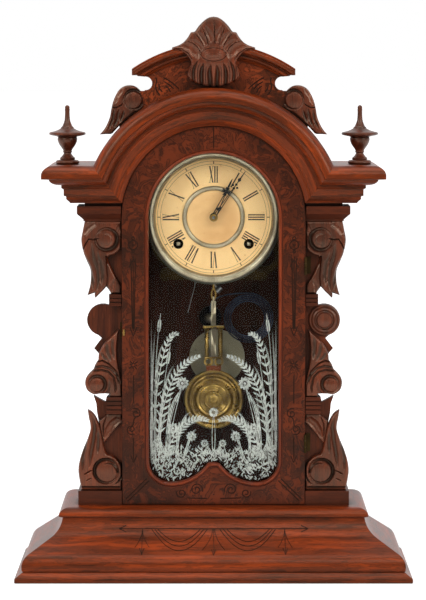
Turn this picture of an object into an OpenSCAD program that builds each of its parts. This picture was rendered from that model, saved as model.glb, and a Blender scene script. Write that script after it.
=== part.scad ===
// Victorian walnut shelf clock: moulded ogee base, arched door, carved side
// brackets and crest, striking movement with pendulum and coil gong.
// Units are millimetres. X right, Y back, Z up; the front faces -Y.

/* [Base] */
// half width of the bottom skirt
base_half = 193.6; // [185:0.2:205]
// depth of the whole clock
depth = 158; // [154:1:164]
// height of the skirt board
skirt_h = 10.3; // [8:0.1:14]
// height of the top of the base, where the case stands
base_h = 66.6; // [62:0.2:72]
// thickness of the cap board on the base
cap_h = 9.1; // [8:0.1:11]

/* [Case] */
// half width of the case box
case_half = 98; // [97:0.2:99]
// thickness of the case boards
board = 8; // [7:0.2:9]
// height of the centre of the dial and of the arch
axis_z = 351; // [348:0.5:354]
// height of the cornice underside
cornice_z = 366.5; // [365:0.5:369]
// height of the cornice and width of the arch moulding
cornice_h = 37.3; // [36:0.1:39]
// half width of the capital blocks
capital_half = 134.2; // [132:0.2:136]

/* [Door] */
// half width and arch radius of the door
door_r = 90.3; // [89.8:0.1:90.5]
// thickness of the door frame
door_t = 11; // [10:0.2:11.4]
// half width and arch radius of the glass opening
sight_r = 64; // [62:0.2:65]
// width of the bead round the glass
bead_w = 4.3; // [3.6:0.1:4.8]
// thickness of the glass
glass_t = 2; // [1.6:0.1:2.2]

/* [Crest] */
// height of the top of the crest above the dial centre
crest_rise = 197.1; // [190:0.1:202]
// thickness of the crest board
crest_t = 12; // [9:0.5:14]

/* [Finials] */
// distance of each finial from the middle
finial_x = 144; // [142:0.2:146]
// height of each finial
finial_h = 58.2; // [52:0.2:64]
// radius of the finial saucer
finial_r = 18; // [15:0.2:20]

/* [Dial and hands] */
// outer radius of the dial bezel
bezel_r = 65.2; // [64:0.1:66]
// visible radius of the dial paper
paper_r = 57.5; // [56:0.1:58]
// length of the minute hand
minute_len = 56; // [50:0.5:57]
// length of the hour hand
hour_len = 43; // [38:0.5:46]
// sideways distance of each winding hole from the middle
wind_x = 35; // [34.5:0.1:35.5]
// drop of the winding holes below the dial centre
wind_drop = 26.6; // [26:0.1:27.2]

/* [Movement and pendulum] */
// radius of the pendulum bob
bob_r = 30; // [26:0.2:32]
// drop of the bob centre below the pendulum pivot
bob_drop = 227; // [222:0.5:232]
// height of the pendulum pivot above the dial centre
pivot_rise = 44; // [43:0.2:46]
// teeth of the centre wheel
centre_teeth = 72; // [72:1:72]
// teeth of the third wheel
third_teeth = 61; // [61:1:61]
// teeth of the escape wheel
escape_teeth = 42; // [42:1:42]

/* [Gong] */
// radius of the outer turn of the gong
gong_r = 25.5; // [24:0.1:26.5]
// turns of the gong
gong_turns = 4.5; // [4.5:1:4.5]
// thickness of the gong wire
gong_d = 1.3; // [1.1:0.05:1.4]

/* [Hidden] */

// rear plane and the depth planes of the case, front to back
rear = depth / 2;
door_f = -16;
door_b = door_f + door_t;
frame_f = -4.5;
frame_b = frame_f + board;
back_f = rear - board;
box_half = case_half - board;
// overhang of the base: front reach is half width less base_set
base_set = base_half - depth / 2;
front_set = 121.4;
cornice_top = cornice_z + cornice_h;
side_gap = 0.7;
side_x = door_r + side_gap;
carve_f = -14;
pin_x = door_r + side_gap / 2;
pin_y = door_f - 1.6;
ogee_top = base_h - cap_h;
cap_bottom = base_h + 0.7;
// a reach past everything, for blocks that cut or trim
far = 2 * base_half;

// ---------- helpers ----------
// extrude an outline drawn in x and z from depth y0 back to depth y1
module slab(y0, y1) {
  translate([0, y1, 0])
    rotate([90, 0, 0])
      linear_extrude(height = y1 - y0)
        children();
}
// sweep an outline drawn as forward reach and height along x
module sweep_x(half) {
  rotate([90, 0, -90])
    linear_extrude(height = 2 * half, center = true)
      children();
}
// stand a turned or round thing on depth plane y, pointing to the front
module fwd(x, y, z) {
  translate([x, y, z])
    rotate([90, 0, 0])
      children();
}
module both() {
  children();
  mirror([1, 0, 0])
    children();
}
function arc(x, z, r, a0, a1, n) =
  [for (i = [0:n]) [x + r * cos(a0 + (a1 - a0) * i / n), z + r * sin(a0 + (a1 - a0) * i / n)]];
function oval(x, z, rx, rz, a0, a1, n) =
  [for (i = [0:n]) [x + rx * cos(a0 + (a1 - a0) * i / n), z + rz * sin(a0 + (a1 - a0) * i / n)]];
function flip(p) = [for (i = [len(p) - 1:-1:0]) [-p[i][0], p[i][1]]];
function full(p) = concat(p, flip(p));
// the same profile as forward reach, for the front run
function reach(p, set) = concat([for (q = p) [q[0] - set, q[1]]]);

// a block moulded on its front and both sides with one profile
module moulded(p, set, half) {
  z0 = p[0][1];
  z1 = p[len(p) - 1][1];
  intersection() {
    sweep_x(half + 10)
      polygon(concat([[-rear, z0]], reach(p, set), [[-rear, z1]]));
    slab(set - half - 10, rear)
      polygon(full(p));
  }
}

// ---------- base ----------
// width of the skirt boards, and half width of the hollow between them
skirt_w = 43.6;
skirt_in = base_half - skirt_w;
skirt_p = [[base_half, 0], [base_half, skirt_h * 0.43], [base_half - 8.8, skirt_h]];
module skirt() {
  color("#5a2413")
    difference() {
      moulded(skirt_p, base_set, base_half);
      translate([-skirt_in, -skirt_in + base_set, -1])
        cube([2 * skirt_in, far, skirt_h + 2]);
    }
}

nose = base_half - 6.5;
waist = base_half - 45;
ogee_p = concat(arc(nose - 14, 14.5, 14, -17, 57, 6),
  arc(waist + 25, ogee_top + 2.5, 25, 237, 186, 6),
  [[waist + 0.15, ogee_top]]);
module ogee_run() {
  difference() {
    moulded(concat([[nose - 1.6, skirt_h]], ogee_p), base_set, base_half);
    translate([-base_inner, -base_inner + base_set, 0])
      cube([2 * base_inner, far, base_h]);
  }
}
base_inner = waist - 14;
// wedge that keeps the front run between its two mitres
module mitre_front() {
  y = base_set;
  linear_extrude(height = 2 * base_h)
    polygon([[0, y], [far, y - far], [-far, y - far]]);
}
module ogee_front() {
  color("#6b2c17")
    intersection() {
      ogee_run();
      mitre_front();
    }
}
module ogee_side() {
  y = base_set;
  intersection() {
    ogee_run();
    linear_extrude(height = 2 * base_h)
      polygon([[0, y], [far, y - far], [far, far], [0, far]]);
  }
}
module ogee_left() {
  color("#6b2c17")
    mirror([1, 0, 0])
      ogee_side();
}
module ogee_right() {
  color("#6b2c17")
    ogee_side();
}
cap_tip = base_half - 41.2;
cap_p = concat([[cap_tip - 2.4, ogee_top], [cap_tip, ogee_top + 1.2]],
  oval(cap_tip - 10.6, ogee_top + 2.2, 10.6, cap_h - 2.2, 0, 90, 6));
module base_cap() {
  color("#7a3519")
    moulded(cap_p, base_set, cap_tip);
}
module base_back() {
  color("#4a2113")
    translate([-base_inner, rear - 12, skirt_h])
      cube([2 * base_inner, 12, ogee_top - skirt_h]);
}
module plinth_blocks() {
  color("#6b2c17")
    both()
      difference() {
        translate([side_x, door_f, base_h])
          cube([capital_half - side_x, 40, foot_z - base_h]);
        translate([side_x - 1, frame_f, base_h - 1])
          cube([case_half - side_x + 1, 60, 20]);
      }
}

// ---------- case ----------
module case_side(s) {
  translate([s > 0 ? box_half : -case_half, frame_b, base_h])
    cube([board, rear - frame_b, axis_z - base_h]);
}
module case_side_left() {
  color("#5a2413")
    case_side(-1);
}
module case_side_right() {
  color("#5a2413")
    case_side(1);
}
module case_floor() {
  color("#3a1a10")
    translate([-box_half, frame_b, base_h])
      cube([2 * box_half, back_f - frame_b, 7]);
}
module arch_shape(r, z0) {
  translate([-r, z0])
    square([2 * r, axis_z - z0]);
  translate([0, axis_z])
    circle(r = r, $fn = 96);
}
module backboard() {
  color("#3a1a10")
    slab(back_f, rear)
      arch_shape(box_half, base_h);
}
module hood() {
  color("#5a2413")
    slab(frame_b, rear)
      difference() {
        intersection() {
          arch_shape(case_half, axis_z - 1);
          translate([-far, axis_z])
            square([2 * far, far]);
        }
        arch_shape(box_half, axis_z - 2);
      }
}
frame_open = 76;
board_r = 122;
module frame_outer() {
  translate([-case_half, base_h])
    square([2 * case_half, axis_z - base_h]);
  translate([0, axis_z])
    circle(r = case_half, $fn = 96);
  intersection() {
    translate([0, axis_z])
      circle(r = board_r, $fn = 96);
    translate([-far, cornice_z])
      square([2 * far, far]);
  }
}
catch_x = -(door_r - 1.7);
catch_z = axis_z - 112.4;
// the catch turns its tongue behind the front of this frame: an upright slot
// lets it in, and a round pocket at the back gives it room to turn
tongue_f = frame_f + 4.8;
tongue_t = 1.2;
tongue_len = 5;
module tongue_slot() {
  translate([catch_x - 2.2, catch_z - 1.5])
    square([3.7, tongue_len + 2.1]);
}
module face_frame() {
  color("#4a2113")
    difference() {
      slab(frame_f, frame_b)
        difference() {
          frame_outer();
          arch_shape(frame_open, base_h + 17);
        }
      slab(frame_f - 1, frame_b - 1)
        tongue_slot();
      fwd(catch_x, frame_b - 0.6, catch_z)
        cylinder(r = tongue_len + 1.2, h = frame_b - 0.6 - tongue_f + 0.5, $fn = 48);
      slab(frame_f - 1, frame_f + 0.6)
        keeper_plate();
    }
}
module keeper_plate() {
  translate([catch_x - 4, catch_z - 7])
    square([12, 16]);
}

// ---------- arch moulding and cornice ----------
// the moulding section: distance up from the inner edge, forward reach
lip = cornice_h - 12.9;
sect = concat([[0, 19.5], [0.7, 19.5]], oval(5.4, 27.1, 4.6, 4.2, 255, 290, 1),
  [[6.9, 25.2], [14.1, 25.2], [14.6, 27], [17.9, 27.4]],
  oval(24.4, 27.4, 6.5, 11.6, 180, 90, 4), [[lip, 46], [lip + 3.6, 46]],
  oval(lip + 3.6, 34.2, 9.3, 11.8, 90, 0, 5));
module section_full() {
  polygon(concat([[0, -frame_f]], sect, [[cornice_h, -frame_f]]));
}
arch_r = door_r + side_gap;
// half width of the mitre between arch and cornice at height z
function mitre_x(z) = sqrt(pow(arch_r + z - cornice_z, 2) - pow(z - axis_z, 2));
mitre_z = [for (i = [0:4]) cornice_z + cornice_h * i / 4];
mitre_p = [for (z = mitre_z) [mitre_x(z), z]];
module arch_region() {
  polygon(full(concat(mitre_p, [[far, cornice_top], [far, cornice_top + far]])));
}
module arch_moulding() {
  color("#8a3b1c")
    intersection() {
      fwd(0, 0, axis_z)
        rotate_extrude($fn = 96)
          translate([arch_r, 0])
            section_full();
      slab(-60, frame_f)
        arch_region();
    }
}
corn_p = [for (q = sect) [q[1] + front_set, q[0] + cornice_z]];
module cornice_right() {
  color("#7a3519")
    difference() {
      moulded(corn_p, front_set, 170);
      slab(-80, frame_f)
        arch_region();
      slab(frame_f, frame_b)
        frame_outer();
      slab(frame_b, rear + 1)
        arch_shape(case_half, cornice_z - 20);
      translate([-far, -far, cornice_z - 5])
        cube([far + 60, 2 * far, cornice_h + 20]);
    }
}
module cornice_left() {
  mirror([1, 0, 0])
    cornice_right();
}
cap_top = cornice_z - 3.3;
capital_p = [[capital_half - 6.1, axis_z - 2.5], [capital_half - 6.1, axis_z - 1],
  [capital_half, axis_z + 4.8], [capital_half, cap_top],
  [capital_half - 7.4, cap_top], [capital_half - 7.4, cornice_z]];
module capitals() {
  color("#6b2c17")
    both()
      difference() {
        intersection() {
          moulded(capital_p, capital_half - 18, 140);
          translate([side_x, -60, axis_z - 10])
            cube([60, 84, 40]);
        }
        translate([side_x - 1, frame_f, axis_z - 20])
          cube([case_half - side_x + 1, 60, 60]);
        slab(frame_f, 40)
          arch_shape(case_half, axis_z - 20);
      }
}

// ---------- carved side brackets ----------
// all outlines: distance from the middle, height
// outlines are given as distance out from the side of the case, and height
function beside(p) = [for (q = p) [case_half + q[0], q[1]]];
seat = side_x - case_half;
cap_low = axis_z - 2.5;
foot_z = base_h + 14;
disc_o = 11.5;
disc_x = case_half + disc_o;
disc_z = axis_z - 101;
fret_p = concat([[0, cap_low], [26, cap_low], [28, 336], [24, 312], [19, 300], [16, 286],
  [7.9, 283], [3, 276], [3, 265]], arc(disc_o, disc_z, 15.8, 120, -72, 16),
  [[12.6, 231.8], [20.3, 221.7], [16.2, 217.1], [14, 211], [13, 190], [11, 177.2], [4.5, 176.6],
  [8.3, 172.9], [9.4, 168], [21.2, 174.6], [18.5, 166.6], [17.8, 158], [16, 148], [13, 136],
  [15, 100], [15, foot_z], [0, foot_z]]);
module fret() {
  slab(frame_f, frame_b)
    polygon(beside(fret_p));
}
module fret_left() {
  color("#5a2413")
    mirror([1, 0, 0])
      fret();
}
module fret_right() {
  color("#5a2413")
    fret();
}
module eye(x, z, r) {
  fwd(x, carve_f + 0.2, z)
    cylinder(r = r, h = 1.8, $fn = 48);
}
module eye_groove(x, z, r, w) {
  fwd(x, carve_f + 2.6, z)
    difference() {
      cylinder(r = r + w, h = 8, $fn = 48);
      translate([0, 0, -1])
        cylinder(r = r, h = 10, $fn = 48);
    }
}
up_o = 6.5;
up_x = case_half + up_o;
up_z = axis_z - 20.9;
upper_p = concat([[seat, cap_low], [28.9, cap_low]], arc(8, 332.5, 24.2, 14, -22, 4),
  [[23.4, 301.5], [23, 290.8], [26, 274.9], [19, 277.7], [18.2, 273.6], [13.2, 277.7],
  [7.5, 283.9], [3.5, 276.1], [seat, 276.1], [seat, 284], [-1, 294], [6.6, 311.5]],
  arc(up_o, up_z, 16, 262, 215, 3), [[seat, 321]]);
module upper_scroll() {
  difference() {
    slab(carve_f, frame_f)
      polygon(beside(upper_p));
    eye_groove(up_x, up_z, 9, 2.2);
    slab(carve_f - 1, carve_f + 2)
      polygon(beside([[20, 312], [21.5, 311], [16, 290], [14.5, 285]]));
    slab(carve_f - 1, carve_f + 2)
      polygon(beside([[14.5, 308], [16, 307], [13, 294], [10.5, 288]]));
  }
  eye(up_x, up_z, 8.8);
}
module upper_scroll_left() {
  color("#4f2012")
    mirror([1, 0, 0])
      upper_scroll();
}
module upper_scroll_right() {
  color("#4f2012")
    upper_scroll();
}
mid_o = 15.8;
mid_x = case_half + mid_o;
mid_z = axis_z - 162.8;
mid_p = concat([[-4.1, 240.9], [-2.5, 225], [-5, 204], [seat, 186], [seat, 174.2], [5, 174.2],
  [5, 177], [13.2, 177.4]], arc(mid_o, mid_z, 13.4, 286, 418, 8), [[19.6, 205], [15.8, 212],
  [15.4, 217.5], [11.9, 223.1], [3.6, 231.5]]);
module leaf_scroll() {
  difference() {
    slab(carve_f, frame_f)
      polygon(beside(mid_p));
    eye_groove(mid_x + 1.5, mid_z - 3.5, 6, 2);
    slab(carve_f - 1, carve_f + 2)
      polygon(beside([[1, 232], [2, 230], [8, 207], [5, 206]]));
    slab(carve_f - 1, carve_f + 2)
      polygon(beside([[9, 222], [10.5, 221], [15, 205], [12.5, 204]]));
  }
  eye(mid_x + 1.5, mid_z - 3.5, 5.8);
}
module leaf_scroll_left() {
  color("#4f2012")
    mirror([1, 0, 0])
      leaf_scroll();
}
module leaf_scroll_right() {
  color("#4f2012")
    leaf_scroll();
}
low_o = 9;
low_x = case_half + low_o;
low_z = axis_z - 250.6;
low_q = concat([[26.4, 160.9], [24.2, 147], [24.4, 141], [27.6, 130.6], [31.8, 120.8],
  [35.3, 109.5], [36.2, 101.1], [35.4, 92], [34, foot_z], [seat, foot_z], [seat, low_z]],
  arc(low_o, low_z, 16, 165, 95, 5), [[10.6, 124], [12.9, 136.3], [15, 145.3], [18.4, 153.8]]);
module lower_scroll() {
  difference() {
    slab(carve_f, frame_f)
      polygon(beside(low_q));
    eye_groove(low_x, low_z, 10.5, 2.2);
    slab(carve_f - 1, carve_f + 2)
      polygon(beside([[22, 150], [23, 149], [22, 130], [19, 128]]));
    slab(carve_f - 1, carve_f + 2)
      polygon(beside([[27, 128], [28.5, 127], [30.5, 112], [28, 110]]));
  }
  eye(low_x, low_z, 10.3);
  slab(carve_f + 4, frame_f)
    polygon(beside([[seat, 157.3], [6.6, 157.3], [16, 149], [14.5, 140], [12, 126], [0, 141],
      [seat, 148.1]]));
}
module lower_scroll_left() {
  color("#4f2012")
    mirror([1, 0, 0])
      lower_scroll();
}
module lower_scroll_right() {
  color("#4f2012")
    lower_scroll();
}
module reeded(x1, z0, z1, n) {
  difference() {
    translate([side_x, carve_f - 1, z0])
      cube([x1 - side_x, frame_f - carve_f + 1, z1 - z0]);
    for (i = [1:n])
      translate([side_x - 1, carve_f - 2, z0 + (z1 - z0) * i / (n + 1) - 0.6])
        cube([x1 - side_x + 2, 2.4, 1.2]);
  }
}
module reeded_blocks() {
  color("#4f2012")
    both() {
      reeded(case_half + 5.1, 264.7, 276.1, 2);
      reeded(case_half + 8, 157.3, 174.2, 3);
    }
}
module roundel() {
  color("#5a2413")
    fwd(disc_x, frame_f, disc_z)
      rotate_extrude($fn = 64)
        polygon(concat([[0, 0], [15.6, 0]], arc(12.6, 2.4, 3, 0, 90, 3),
          [[10.5, 4], [9, 4]], [[7.6, 5], [7.2, 7.4]], arc(0, -24, 32, 80, 90, 2)));
}

// ---------- crest ----------
crest_f = -26;
crest_b = crest_f + crest_t;
top_z = axis_z + crest_rise;
out_r = arch_r + cornice_h;
// the raking moulding lies on one arc, given by its top edge
rake_r = 144;
rake_x = -2.2;
rake_z = top_z - 169.1;
rake_end = 79.3;
module crest_outline() {
  difference() {
    polygon(full(concat([[0, top_z - 14], [20, top_z - 20]],
      arc(rake_x, rake_z, rake_r - 1, 77, 55.6, 6),
      [[rake_end - 1, top_z - 54.6], [73.8, top_z - 57.5], [68, top_z - 58], [60.5, top_z - 66],
      [67.9, top_z - 72], [74, top_z - 72], [84, top_z - 68], [92, top_z - 83],
      [92, axis_z + 80], [0, axis_z + 80]])));
    translate([0, axis_z])
      circle(r = out_r, $fn = 96);
    both()
      translate([66.5, top_z - 64.6])
        circle(r = 6.6, $fn = 40);
  }
}
module crest_board() {
  color("#6b2c17")
    slab(crest_f + 4, crest_b + 4)
      crest_outline();
}
// raking moulding: runs from the shell down to its free end
module rake() {
  intersection() {
    fwd(rake_x, crest_f + 4, rake_z)
      rotate_extrude($fn = 96)
        polygon(concat([[rake_r - 14.5, 0], [rake_r - 14.5, 2], [rake_r - 12.5, 3.6]],
          arc(rake_r - 9.6, 4.2, 2.2, 200, 60, 3), [[rake_r - 8, 8.4]],
          arc(rake_r - 3.6, 9, 3.6, 190, 60, 5), [[rake_r - 1, 13], [rake_r, 13], [rake_r, 0]]));
    slab(crest_f - 30, crest_f + 4)
      polygon([[26, top_z - 70], [26, top_z], [rake_end, top_z], [rake_end, top_z - 55],
        [73.8, top_z - 58], [60, top_z - 58.5]]);
  }
}
module crest_mouldings() {
  color("#8a3b1c")
    difference() {
      both()
        rake();
      slab(crest_f - 40, crest_b)
        shell_outline();
    }
}
shell_f = crest_f - 14;
shell_p = [[0, top_z], [4, top_z - 0.5], [10, top_z - 4], [15, top_z - 9.5], [17.5, top_z - 14.5],
  [21, top_z - 15.3], [26, top_z - 22], [33, top_z - 27], [40.2, top_z - 29.6],
  [40.2, top_z - 31.4], [34, top_z - 32], [27, top_z - 36], [22, top_z - 43], [24, top_z - 52],
  [24, top_z - 59], [18, top_z - 65.5], [9, top_z - 68], [0, top_z - 68.5]];
module shell_outline() {
  polygon(full(shell_p));
}
module crest_shell() {
  color("#5a2413")
    difference() {
      slab(shell_f, crest_f + 4)
        shell_outline();
      for (a = [-40:16:40])
        translate([0, 0, top_z - 62])
          rotate([0, a, 0])
            translate([0, shell_f - 0.6, 26])
              cylinder(r1 = 0.9, r2 = 2.2, h = 38, $fn = 24);
      for (a = [-24:16:24])
        translate([0, 0, top_z - 34])
          rotate([0, a + 180, 0])
            translate([0, shell_f - 0.4, 9])
              cylinder(r1 = 0.9, r2 = 2.2, h = 30, $fn = 24);
    }
}
wing_x = 78;
wing_z = axis_z + 117.1;
module wing() {
  difference() {
    slab(crest_f, crest_b)
      difference() {
        polygon(concat(arc(81.7, 465.5, 16.2, 95, 5, 6), [[99.5, 458.8], [104, 448], [111.6, 433.7],
          [106, 434.8], [100.5, 436], [70, 455], [66.5, 470]]));
        translate([0, axis_z])
          circle(r = out_r, $fn = 96);
      }
    fwd(wing_x, crest_f + 2.6, wing_z)
      difference() {
        cylinder(r = 10.2, h = 8, $fn = 48);
        translate([0, 0, -1])
          cylinder(r = 8, h = 10, $fn = 48);
      }
    slab(crest_f - 1, crest_f + 2)
      polygon([[96, 462], [97.5, 461], [104, 442], [102, 443]]);
  }
}
module wing_scrolls() {
  color("#5a2413")
    difference() {
      both()
        wing();
      slab(crest_f + 4, crest_b + 4)
        crest_outline();
    }
}

// ---------- finials ----------
module finial() {
  h = finial_h;
  r = finial_r;
  translate([finial_x, 0, cornice_top])
    rotate_extrude($fn = 64)
      polygon(concat([[0, 0], [9.6, 0]], arc(9.6, 2.1, 2.1, -90, 90, 5), [[7, 4.8], [7.6, 6.6],
        [3.6, 11], [4.2, 13.6]], [[8, h * 0.36], [r * 0.66, h * 0.466], [r, h * 0.516],
        [r, h * 0.528], [r * 0.55, h * 0.6], [4.4, h * 0.64], [4.4, h * 0.7], [3.3, h * 0.75]],
        arc(0, h - 2.4, 2.4, 0, 90, 3)));
}
module finial_left() {
  color("#5a2413")
    mirror([1, 0, 0])
      finial();
}
module finial_right() {
  color("#5a2413")
    finial();
}

// ---------- door ----------
door_z0 = cap_bottom;
lobe_x = 42.5;
lobe_r = sight_r - lobe_x;
lobe_z = base_h + 43.6;
bump_r = 19.5;
bump_z = base_h + 22.5;
// inner arc of each lobe, struck from a point above the lobe
inner_z = base_h + 66.7;
inner_r = 44.6;
// glass opening, grown outward by o
module opening(o) {
  difference() {
    union() {
      translate([-sight_r - o, lobe_z])
        square([2 * (sight_r + o), axis_z - lobe_z]);
      translate([0, axis_z])
        circle(r = sight_r + o, $fn = 96);
      for (s = [-1, 1])
        translate([s * lobe_x, lobe_z])
          circle(r = lobe_r + o, $fn = 64);
      for (s = [-1, 1])
        intersection() {
          translate([s * lobe_x, inner_z])
            circle(r = inner_r + o, $fn = 96);
          translate([s > 0 ? 0 : -lobe_x, base_h])
            square([lobe_x, lobe_z - base_h + 1]);
        }
      // opens the middle down to where the inner arcs meet the bump
      translate([0.98 * o - 19, base_h + 28.8 - 0.55 * o])
        square([2 * (19 - 0.98 * o), lobe_z - base_h - 27.8 + 0.55 * o]);
    }
    translate([0, bump_z])
      circle(r = bump_r - o, $fn = 64);
  }
}
hinge_zs = [[axis_z - 232, 18], [axis_z - 55, 17]];
module door_frame() {
  color("#6b2c17")
    difference() {
      slab(door_f, door_b)
        difference() {
          arch_shape(door_r, door_z0);
          opening(bead_w);
        }
      for (h = hinge_zs)
        translate([door_r - 1, door_f - 1, h[0]])
          cube([2, 10, h[1]]);
      fwd(catch_x, 0, catch_z)
        cylinder(r = 0.9, h = 30, $fn = 32);
    }
}
glass_f = door_f + 7;
glass_b = glass_f + glass_t;
module door_bead() {
  color("#7a3519") {
    slab(door_f - 1, glass_f)
      difference() {
        opening(bead_w);
        opening(0);
      }
    slab(glass_b, door_b)
      difference() {
        opening(bead_w);
        opening(1.2);
      }
  }
}
module door_glass() {
  color("#c8d2cc", 0.35)
    slab(glass_f, glass_b)
      opening(bead_w - 0.1);
}
module door_hinges() {
  color("#9c7a3c")
    for (h = hinge_zs) {
      translate([door_r - 1, door_f, h[0]])
        cube([1, 9, h[1]]);
      translate([pin_x, pin_y, h[0] + h[1] / 3])
        cylinder(r = 1.3, h = h[1] / 3, $fn = 32);
      translate([door_r - 0.8, pin_y, h[0] + h[1] / 3])
        cube([0.8, door_f - pin_y + 1, h[1] / 3]);
    }
}
module case_hinges() {
  color("#9c7a3c") {
    for (h = hinge_zs)
      for (k = [0, 2])
        difference() {
          union() {
            translate([pin_x, pin_y, h[0] + k * h[1] / 3 + (k > 0 ? 0.15 : 0)])
              cylinder(r = 1.3, h = h[1] / 3 - 0.15, $fn = 32);
            translate([side_x, pin_y, h[0] + k * h[1] / 3 + (k > 0 ? 0.15 : 0)])
              cube([0.8, frame_f - pin_y, h[1] / 3 - 0.15]);
          }
        }
    for (h = hinge_zs)
      translate([side_x, frame_f - 0.8, h[0]])
        cube([5, 0.8, h[1]]);
    // keeper of the catch, let in flush
    slab(frame_f, frame_f + 0.6)
      difference() {
        keeper_plate();
        tongue_slot();
      }
  }
}
module door_catch() {
  color("#c9a24a") {
    fwd(catch_x, door_f, catch_z)
      cylinder(r = 1.3, h = 0.9, $fn = 32);
    slab(door_f - 1.4, door_f)
      translate([catch_x - 0.8, catch_z - 3])
        square([1.6, 6]);
    fwd(catch_x, tongue_f + tongue_t, catch_z)
      cylinder(r = 0.8, h = tongue_f + tongue_t - door_f, $fn = 32);
    slab(tongue_f, tongue_f + tongue_t)
      translate([catch_x - 1, catch_z - 1])
        square([2, tongue_len + 1]);
  }
}

// ---------- dial ----------
paper_y = 8;
module dial_pan() {
  color("#e2b689")
    difference() {
      union() {
        fwd(0, paper_y + 1.6, axis_z)
          cylinder(r = bezel_r + 1.8, h = 1.6, $fn = 96);
        fwd(0, paper_y + 6, axis_z)
          difference() {
            cylinder(r = bezel_r - 3, h = 5, $fn = 96);
            translate([0, 0, -1])
              cylinder(r = bezel_r - 4, h = 6, $fn = 96);
          }
        for (x = [-40, 40])
          for (z = [-40, 40])
            fwd(x, plate_f, axis_z + z)
              cylinder(r = 2, h = plate_f - paper_y - 1, $fn = 24);
      }
      fwd(0, 40, axis_z)
        cylinder(r = 4, h = 60, $fn = 32);
      for (s = [-1, 1])
        fwd(s * wind_x, 20, axis_z - wind_drop)
          cylinder(r = 5, h = 30, $fn = 40);
    }
}
module dial_bezel() {
  color("#c9b98e") {
    fwd(0, paper_y, axis_z)
      rotate_extrude($fn = 96)
        polygon(concat([[paper_r, 0], [paper_r, 1]], arc(bezel_r - 3.6, 1.6, 3.6, 150, 0, 6),
          [[bezel_r, 0]]));
    fwd(0, paper_y, axis_z)
      rotate_extrude($fn = 96)
        polygon(concat([[26.6, 0]], arc(28.8, 0.1, 2.2, 175, 5, 5), [[31, 0]]));
  }
}

// ---------- movement ----------
plate_f = 30;
plate_t = 1.5;
plate_r = 61;
lug_x = 48.5;
lug_z = 60;
plate_top = 53;
plate_low = -64.4;
w_x = wind_x;
w_z = axis_z - wind_drop;
train_m = 0.6;
lantern = 7;
esc_rise = 26;
third_d1 = train_m * (centre_teeth + lantern) / 2;
third_d2 = train_m * (third_teeth + lantern) / 2;
third_dz = (third_d1 * third_d1 - third_d2 * third_d2 + esc_rise * esc_rise) / (2 * esc_rise);
third_dx = sqrt(third_d1 * third_d1 - third_dz * third_dz);
esc_z = axis_z + esc_rise;
pivot_z = axis_z + pivot_rise;
second_x = -30;
main_d = sqrt(wind_x * wind_x + wind_drop * wind_drop);
main_n = 84;
main_pin = 12;
main_m = 2 * main_d / (main_n + main_pin);
strike_m = 0.9;
strike_n = 62;
strike_pin = 8;
strike_d = strike_m * (strike_n + strike_pin) / 2;
second_dx = w_x + second_x;
second_z = w_z + sqrt(strike_d * strike_d - second_dx * second_dx);
second_n = 60;
fly_d = train_m * (second_n + lantern) / 2;
fly_x = -22;
fly_dx = fly_x - second_x;
fly_z = second_z + sqrt(fly_d * fly_d - fly_dx * fly_dx);
ham_x = -16;
ham_z = axis_z - 54;
arbors = [[0, axis_z, 1.9], [third_dx, axis_z + third_dz, 1.1], [0, esc_z, 1.1],
  [w_x, w_z, 3.4], [-w_x, w_z, 3.4], [second_x, second_z, 1.1], [fly_x, fly_z, 1.1],
  [ham_x, ham_z, 1.3]];
module plate(y) {
  difference() {
    slab(y, y + plate_t) {
      translate([-44, axis_z + plate_low])
        square([88, plate_top - plate_low]);
      for (s = [-1, 1])
        for (z = [-lug_z, 40])
          translate([s * lug_x, axis_z + z])
            circle(r = 5.6, $fn = 32);
    }
    for (a = arbors)
      fwd(a[0], y + 5, a[1])
        cylinder(r = a[2] + 0.15, h = 10, $fn = 32);
    for (s = [-1, 1])
      fwd(s * 18, y + 5, axis_z - 30)
        cylinder(r = 10, h = 10, $fn = 40);
  }
}
module movement_plates() {
  color("#b08d4a") {
    plate(plate_f);
    plate(plate_r);
    for (q = [[-40, 46], [40, 46], [0, -60]])
      fwd(q[0], plate_r, axis_z + q[1])
        cylinder(r = 2.6, h = plate_r - plate_f - plate_t, $fn = 24);
    for (s = [-1, 1])
      for (z = [-lug_z, 40]) {
        fwd(s * lug_x, back_f, axis_z + z)
          cylinder(r = 4, h = back_f - plate_r - plate_t, $fn = 24);
        fwd(s * lug_x, plate_f, axis_z + z)
          cylinder(r = 3.7, h = 1.2, $fn = 24);
      }
    // slit post that holds the suspension spring, and the verge pin
    difference() {
      fwd(0, plate_f, post_z)
        cylinder(r = 2, h = plate_f - pend_y + 2.5, $fn = 24);
      translate([-3, pend_y - 0.5, post_z - 3])
        cube([6, 1, 4]);
    }
    fwd(0, plate_f, verge_z)
      cylinder(r = 0.8, h = 5, $fn = 24);
  }
}
verge_z = esc_z + 18.6;
post_z = pivot_z + 5.4;
module mainsprings() {
  color("#4d5566")
    for (s = [-1, 1])
      fwd(s * w_x, 56, w_z)
        difference() {
          cylinder(r = 26, h = 15, $fn = 64);
          translate([0, 0, -1])
            cylinder(r = 8, h = 20, $fn = 48);
        }
}
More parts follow.
